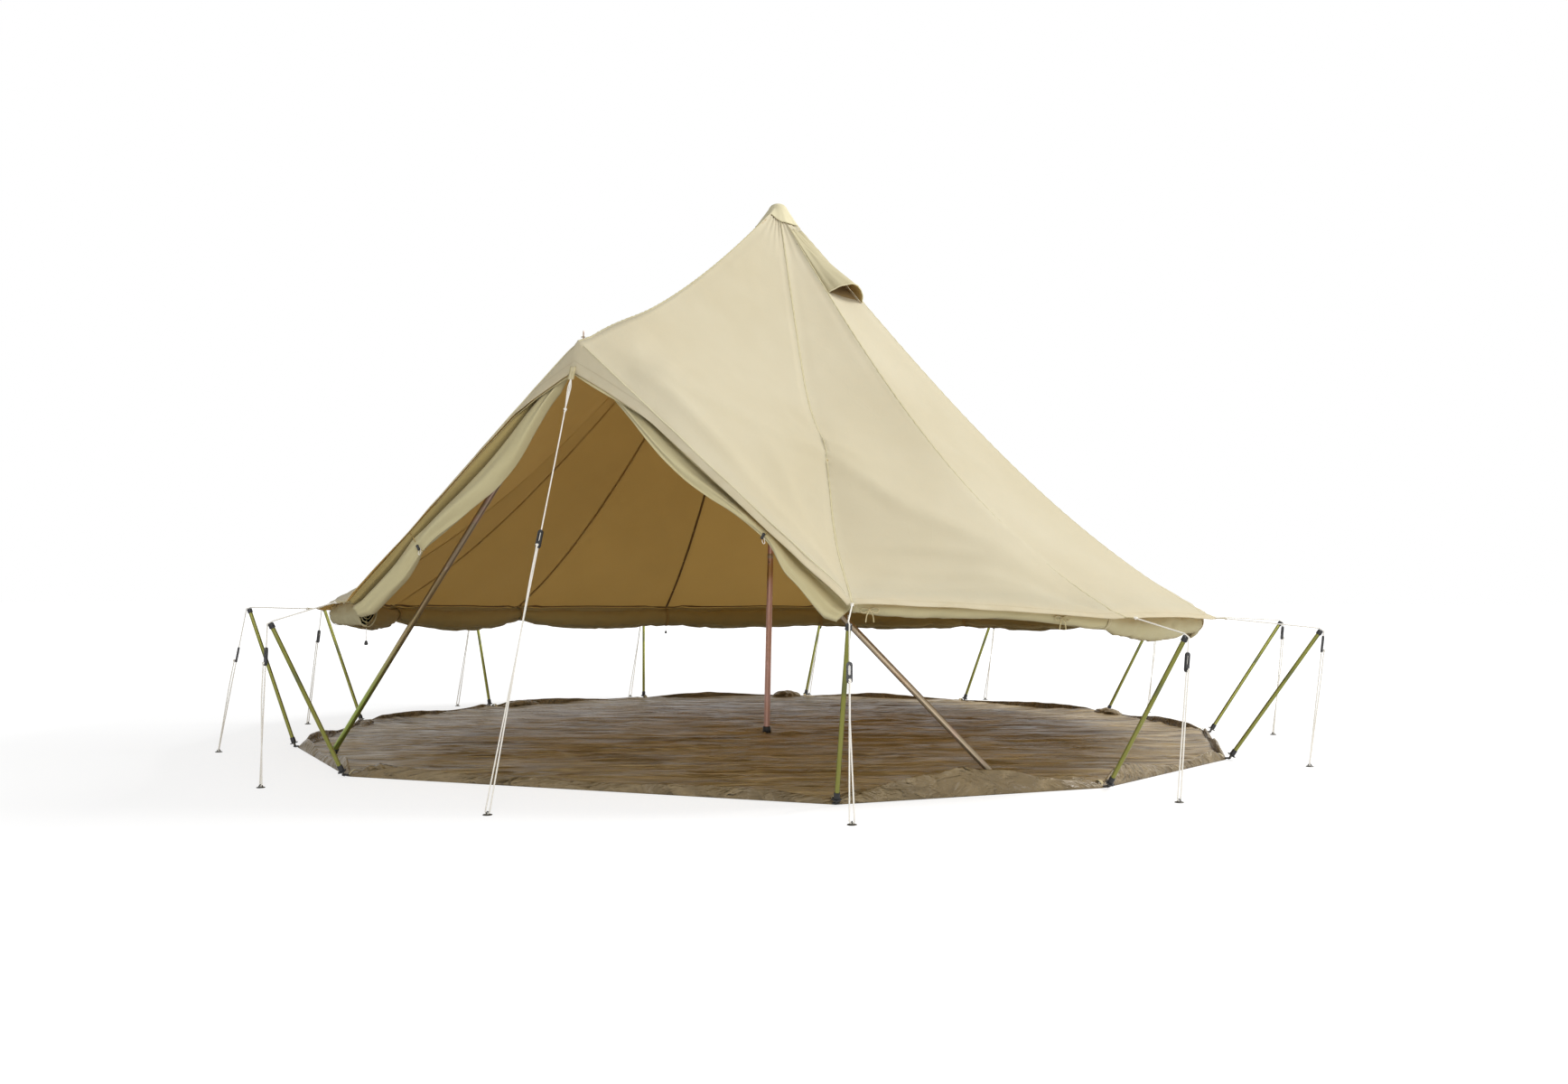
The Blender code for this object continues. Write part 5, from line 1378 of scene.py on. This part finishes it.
def floor_rows(places):
    """The groundsheet's floor: long wrinkles that all run one way, and slack along its edge."""
    insets = [0.034 + 0.010 * k for k in range(8)]
    while insets[-1] < 2.30:
        insets.append(insets[-1] + min(0.022, 0.010 + insets[-1] * 0.06))
    cos, sin = math.cos(WRINKLE_TURN), math.sin(WRINKLE_TURN)
    rows = []
    for inset in insets:
        row = []
        for azimuth, edge, phase, fullness, height, lean, run in places:
            point = radial(azimuth) * (edge - inset)
            u, v = point.x * cos + point.y * sin, -point.x * sin + point.y * cos
            swayed = v + 0.25 * noise_at(u * 0.8, v * 0.8, 1.0)
            ridge = 1 - abs(noise_at(u * 1.3, swayed * 5.0, 3.0)) * 2.6
            small = 1 - abs(noise_at(u * 2.6, swayed * 12.0, 8.0)) * 2.6
            rise = 0.0085 * max(0.0, ridge) ** 1.5 + 0.0045 * max(0.0, small) ** 1.5
            rise += 0.008 * max(0.0, noise_at(u * 0.7, v * 2.2, 14.0))
            corner = bell(min(phase, 1 - phase) * PANEL_SPAN, 0.20) * bell(inset, 0.22)
            rise += 0.024 * corner * abs(noise_at(run * 11.0, inset * 5.0, 31.0))
            swell = 0.014 * bell(inset, 0.10) * (0.5 + noise_at(run * 3.0, inset * 6.0, 21.0))
            row.append(point + UP * (0.0022 + max(0.0, rise * min(1.0, inset / 0.05) + swell)))
        rows.append(row)
    return rows + [[radial(place[0]) * 0.004 + UP * 0.004 for place in places]]


def make_groundsheet():
    """Groundsheet with long wrinkles and a slack bucket wall, slumped between its corners."""
    places = []
    for turn in angles(SHEET_AROUND):
        azimuth = pole_azimuth(0) + turn
        edge, panel, phase = sheet_edge(azimuth)
        fullness = min(1.0, 3.2 * math.sin(math.pi * phase))
        run = azimuth * 2.45
        tall = wall_height(panel, phase)
        ruffle = (0.22 * noise_at(run * 2.1, 0.0, 4.0) + 0.12 * noise_at(run * 9.0, 0.0, 9.0)) * tall
        height = WALL_FOOT + (tall - WALL_FOOT + ruffle) * fullness
        lean = 0.30 * noise_at(run * 2.3, 5.0, 0.0) - 0.16
        places.append((azimuth, edge, phase, fullness, height, lean * tall, run))
    rows = wall_rows(places) + floor_rows(places)
    mesh = skin(rows, lambda i, j: rows[i][j % SHEET_AROUND].xy, wrap=True, flip=True)
    for polygon in mesh.polygons:
        polygon.material_index = 1 if polygon.index < (len(WALL_SECTION) + 1) * SHEET_AROUND else 0
    # The wall's faces take the lighter copy of the groundsheet: painted light.
    made = piece("groundsheet_cloth", mesh, (GROUNDSHEET, GROUNDSHEET_WALL_PAINTED_LIGHT),
                 ("groundsheet",))
    thicken(made, 0.0012, 0, -1.0)


def make_corner_bunches():
    """Slack of the groundsheet's wall, crumpled and lying beside some of the corners."""
    for number, (corner, start, end, thick) in enumerate(BUNCHES):
        foot = sheet_corner(corner)
        after = corner + 1 if start >= 0 else corner - 1
        run = (sheet_corner(after % SIDE_POLES) - foot).normalized()
        inward = UP.cross(run)
        if inward.dot(foot) > 0:
            inward.negate()
        rows = []
        for k in range(41):
            t = k / 40
            swell = math.sin(math.pi * t) ** 0.6
            spot = foot + run * (abs(start) + (abs(end) - abs(start)) * t)
            spot += inward * (0.050 + 0.030 * t + 0.012 * ripple(t * 0.3, number, 5, 0.08))
            spot += UP * (0.010 + thick * 0.7 * swell)
            row = []
            for angle in angles(30):
                crumple = ripple(t * 0.30 + 0.05 * math.cos(angle), 0.06 * math.sin(angle), 40 + number,
                                 0.035)
                reach = thick * (0.15 + 0.85 * swell) * (1 + 0.45 * crumple)
                point = spot + (inward * math.cos(angle) * 1.7 + UP * math.sin(angle)) * reach
                point.z = max(0.004, point.z)
                row.append(point)
            rows.append(row)
        mesh = outward(skin(rows, lambda i, j: (j * 0.004, i * 0.007), wrap=True, caps=True))
        # The bunches take the wall's lighter copy: painted light.
        piece("groundsheet_bunch_%02d" % (number + 1), mesh, (GROUNDSHEET_WALL_PAINTED_LIGHT,))


def make_corner_loops():
    """Webbing loop and ring at each corner of the groundsheet, round the pole's spike."""
    ring = swept([radial(2 * math.pi * k / 20) * 0.0125 for k in range(21)], 0.0022)
    for i in range(SIDE_POLES):
        out, side = radial(pole_azimuth(i)), sideways(pole_azimuth(i))
        foot = out * (FOOT_CIRCLE - 0.004)
        rows = []
        for k in range(9):
            t = k / 8
            spot = foot - out * (0.012 + 0.058 * t) + UP * (0.006 + 0.020 * math.sin(math.pi * t) + 0.006 * t)
            rows.append([spot + side * w for w in (-0.008, 0.0, 0.008)])
        strap = skin(rows, lambda row, place: ((place - 1) * 0.008, row * 0.008))
        mesh = merged([(strap, None, CANVAS_TAPE),
                       (ring, Matrix.Translation(foot + UP * 0.008), BLACK_PLASTIC)])
        thicken(piece("groundsheet_loop_%02d" % (i + 1), mesh, ()), 0.0012, 0, 1.0)


# Guy ropes

def over_pole(i):
    """A side rope's points over its pole's cap."""
    top, axis, out = pole_top(i), pole_axis(i), radial(pole_azimuth(i))
    across = (out - axis * out.dot(axis)).normalized()
    lift = ROPE_RADIUS + 0.0006
    points = [top - across * CAP_RADIUS + axis * lift]
    for turn in (90, 60, 30, 0):
        angle = math.radians(turn)
        points.append(top + across * CAP_RADIUS + (across * math.cos(angle) + axis * math.sin(angle)) * lift)
    return points + [points[-1] - axis * 0.004]


def knot_points(centre, up, across, size):
    """A figure-of-eight stopper knot."""
    side = up.cross(across)
    points = []
    for k in range(25):
        turn = 2 * math.pi * k / 24
        points.append(centre + across * math.sin(turn * 2) * size * 0.8 + side * math.cos(turn) * size * 0.7
                      + up * (math.sin(turn) * size * 1.2))
    return points


def eye_points(start, run, reach, across):
    """The rope's spliced eye, a narrow loop that starts at the tab."""
    points = []
    for k in range(21):
        t = k / 20
        width = 0.0075 * math.cos(math.pi * t) * min(1.0, math.sin(math.pi * t) * 2.5)
        points.append(start + run * (reach * (1 - abs(2 * t - 1)) - 0.006) + across * width)
    return points


def make_guy(tag, tab, away, lead, anchor, out, drop):
    """One rope with its eye, knots and turn at the ground anchor, the anchor, and the rope's tab."""
    ring = anchor + UP * (0.003 + ROPE_RADIUS + LOOP_HALF_WIDTH - 0.0005)
    aside = UP.cross(out).normalized() * LOOP_HALF_WIDTH
    up = (lead[-1] - (ring - aside)).normalized()
    turn = []
    for k in range(13):
        angle = math.pi * k / 12
        turn.append(ring - aside * math.cos(angle) - UP * LOOP_HALF_WIDTH * math.sin(angle))
    runner = frame_at(lead[-1] - up * (drop + RUNNER_LENGTH / 2), up, out)
    stand_off = RUNNER_THICKNESS / 2 + GAP + KNOT_RADIUS
    low = runner @ Vector((0, stand_off, -RUNNER_LENGTH / 2 - DOUBLED_BELOW))
    end = runner @ Vector((0, stand_off, -RUNNER_LENGTH / 2 + 0.008))
    run = (lead[1] - lead[0]).normalized()
    across = run.cross(UP).normalized()
    reach = min(0.16, (lead[1] - lead[0]).length * 0.55)
    plate = ((0, 0.0), (0.0165, 0.0), (0.0180, 0.0012), (0.0165, 0.0030), (0.006, 0.0036), (0, 0.0036))
    hook = []
    for k in range(15):
        angle = math.pi * k / 14
        hook.append(Vector((0, 0.0083 * math.cos(angle), 0.002 + 0.0105 * math.sin(angle))))
    knot = knot_points(end, (end - low).normalized(), aside.normalized(), 0.0045)
    bead = knot_points(lead[0] + run * reach, run, across, 0.0055)
    mesh = merged([(swept(lead + turn + [low, end], ROPE_RADIUS, 12), None, ROPE),
                   (swept(knot, 0.0024), None, ROPE),
                   (swept(eye_points(lead[0], run, reach, across), 0.0021), None, ROPE),
                   (swept(bead, 0.0026), None, ROPE),
                   (turned(plate), Matrix.Translation(anchor), ANCHOR_STEEL),
                   (swept(hook, 0.0022), frame_at(anchor, UP, out), ANCHOR_STEEL)])
    piece("guy_" + tag, mesh, (), ("guy_rope_" + tag,))
    rows = []
    for k in range(9):
        spot = tab + away * (TAB_REACH - TAB_LENGTH + TAB_LENGTH * k / 8) + UP * 0.0012
        rows.append([spot + away.cross(UP).normalized() * TAB_WIDTH * w for w in (-0.5, -0.25, 0, 0.25, 0.5)])
    strap = skin(rows, lambda i, j: ((j / 4 - 0.5) * TAB_WIDTH, i * 0.0075))
    thicken(piece("guy_tab_" + tag, strap, (CANVAS_TAPE,)), 0.004)


def make_guys():
    """The twelve side ropes over their poles, and the front one straight to its anchor."""
    for i in range(SIDE_POLES):
        tab, out = eave_corner(i) - HEM_UNDER, radial(pole_azimuth(i))
        away = pole_top(i) - eave_corner(i)
        away.z = 0.0
        away.normalize()
        start = tab + away * (TAB_REACH + GAP)
        make_guy("%02d" % (i + 1), tab, away, [start, start + away * 0.006] + over_pole(i),
                 out * PEG_CIRCLE + PEG_SHIFT, out, RUNNER_DROPS[i])
    tip = ROOF[-1][0]
    tab, away = tip + BACK * 0.003, (FRONT_PEG - tip).normalized()
    start = tab + away * (TAB_REACH + GAP)
    make_guy("front", tab, away, [start, start + away * FRONT_LEAD], FRONT_PEG, FRONT,
             FRONT_RUNNER_DROP - FRONT_LEAD)


# Toggles

def make_toggles():
    """Toggles that hold the flaps, and spare ones that hang on cords and swing."""
    half, radius = 0.013, 0.0065
    lower = [(0, -1.0), (0.6, -1.0), (0.95, -0.86), (1.0, -0.6), (0.86, -0.25)]
    barrel = lower + [(0.80, 0)] + [(r, -z) for r, z in reversed(lower)]
    for side, name in SIDES:
        crest, edge, down = flap_frame(FLAP_TIE, side)
        spot = crest + down * flap_drop(FLAP_TIE, side) * 0.85 + FRONT * 0.020
        mesh = turned([(r * radius, z * half) for r, z in barrel], 24)
        piece("toggle_" + name, mesh, (BLACK_PLASTIC,), ("door_toggle_" + name,),
              matrix=frame_at(spot, edge * 0.5 + UP, FRONT))
    bob = turned([(0, -0.0748), (0.0052, -0.0748), (0.0080, -0.0720), (0.0084, -0.0690), (0.0062, -0.0600),
                  (0.0034, -0.0555), (0, -0.0545)], 20)
    for name in ("right", "back", "left"):
        low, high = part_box("hanging_toggle_" + name)
        hang = Vector(((low.x + high.x) / 2, (low.y + high.y) / 2, high.z))
        cord = [hang + Vector((0.0008 * math.sin(k * 0.9), 0, -0.0015 - 0.0535 * k / 10)) for k in range(11)]
        mesh = merged([(swept(cord, 0.0014), None, ROPE), (bob, Matrix.Translation(hang), BLACK_PLASTIC)])
        piece("spare_toggle_" + name, mesh, (), ("hanging_toggle_" + name,),
              "toggle_" + name)


# Floor, light and camera

def seen_ray(tree):
    """1 for a ray that ends in the picture: straight from the camera, or by way of a mirror or glass."""
    rays = add(tree, "LightPath").node.outputs
    mirrored, through = rays["Is Glossy Ray"], rays["Is Transmission Ray"]
    bent = add(tree, "Math", {"operation": "MAXIMUM", 0: mirrored, 1: through})
    return add(tree, "Math", {"operation": "MAXIMUM", 0: rays["Is Camera Ray"], 1: bent})


def make_floor():
    """White floor that keeps a soft shadow; the camera sees it as clean white further off."""
    mesh = mesh_of([(-60, -60, 0), (60, -60, 0), (60, 60, 0), (-60, 60, 0)], [(0, 1, 2, 3)], {})
    floor = bpy.data.objects.new("floor", mesh)
    floor.location.z = -0.0006
    bpy.context.scene.collection.objects.link(floor)
    look = Look("white_floor", {"Base Color": "#e6e6e6", "Roughness": 0.9, "Specular IOR Level": 0.1})
    reach = look.add("VectorMath", {"operation": "LENGTH", 0: look.solid}, "Value")
    strength = look.stretch(reach, 4.0, 9.0, 0.70, 1.05)
    glow = look.add("Emission", {"Color": (1, 1, 1, 1), "Strength": strength})
    pale = look.add("AddShader", {0: glow, 1: look.add("BsdfDiffuse", {"Color": "#a4a4a4"})})
    look.surface(look.add("MixShader", {0: seen_ray(look.tree), 1: look.shader.outputs[0], 2: pale}))
    mesh.materials.append(look.material)


def aimed(name, data, place, direction):
    """Put a lamp or a camera at a place, pointing in a direction."""
    holder = bpy.data.objects.new(name, data)
    bpy.context.scene.collection.objects.link(holder)
    holder.location = place
    holder.rotation_euler = direction.to_track_quat("-Z", "Y").to_euler()
    return holder


def make_light():
    """Even studio light: a white room, a soft lamp high on the right and a weaker one in front."""
    world = bpy.data.worlds.new("studio")
    bpy.context.scene.world = world
    world.use_nodes = True
    tree = world.node_tree
    tree.nodes.clear()
    room, white = (add(tree, "Background", {"Color": (1, 1, 1, 1), "Strength": glow}) for glow in (0.50, 1.0))
    mixed = add(tree, "MixShader", {0: seen_ray(tree), 1: room, 2: white})
    tree.links.new(mixed, tree.nodes.new("ShaderNodeOutputWorld").inputs["Surface"])
    for name, place, aim, size, watts in LAMPS:
        lamp = bpy.data.lights.new(name, "AREA")
        lamp.energy = watts
        lamp.size = size
        aimed(name, lamp, place, Vector(aim) - Vector(place))


def make_camera():
    """Camera at the photograph's place and angle."""
    lens = bpy.data.cameras.new("camera")
    lens.lens = CAMERA_LENS
    lens.sensor_width = 36.0
    lens.clip_end = 200.0
    look = radial(CAMERA_AZIMUTH) * math.cos(CAMERA_PITCH) + UP * math.sin(CAMERA_PITCH)
    bpy.context.scene.camera = aimed("camera", lens, CAMERA_PLACE, look)


make_camera()
make_guys()
roof = make_roof()
make_seam_tapes()
make_inside_seams()
make_peak_cap()
for vent_name, vent_panel in VENTS:
    make_vent(vent_name, vent_panel)
make_valance_lining()
make_gable_piping()
make_wall_roll()
for number in range(SIDE_POLES):
    make_roll_tie(number + 1, min(SIDE_POLES - 1.02, max(0.02, float(number))))
for number, tie_place in enumerate(BOW_PLACES):
    make_tie_ends(number + 1, tie_place)
for flap_side, flap_name in SIDES:
    make_door_flap(flap_name, flap_side)
make_side_poles()
dress_frame_solids()
make_tube_fittings()
make_groundsheet()
make_corner_bunches()
make_corner_loops()
make_toggles()
make_floor()
make_light()
bpy.context.scene.view_settings.view_transform = "Standard"

bpy.context.view_layer.update()
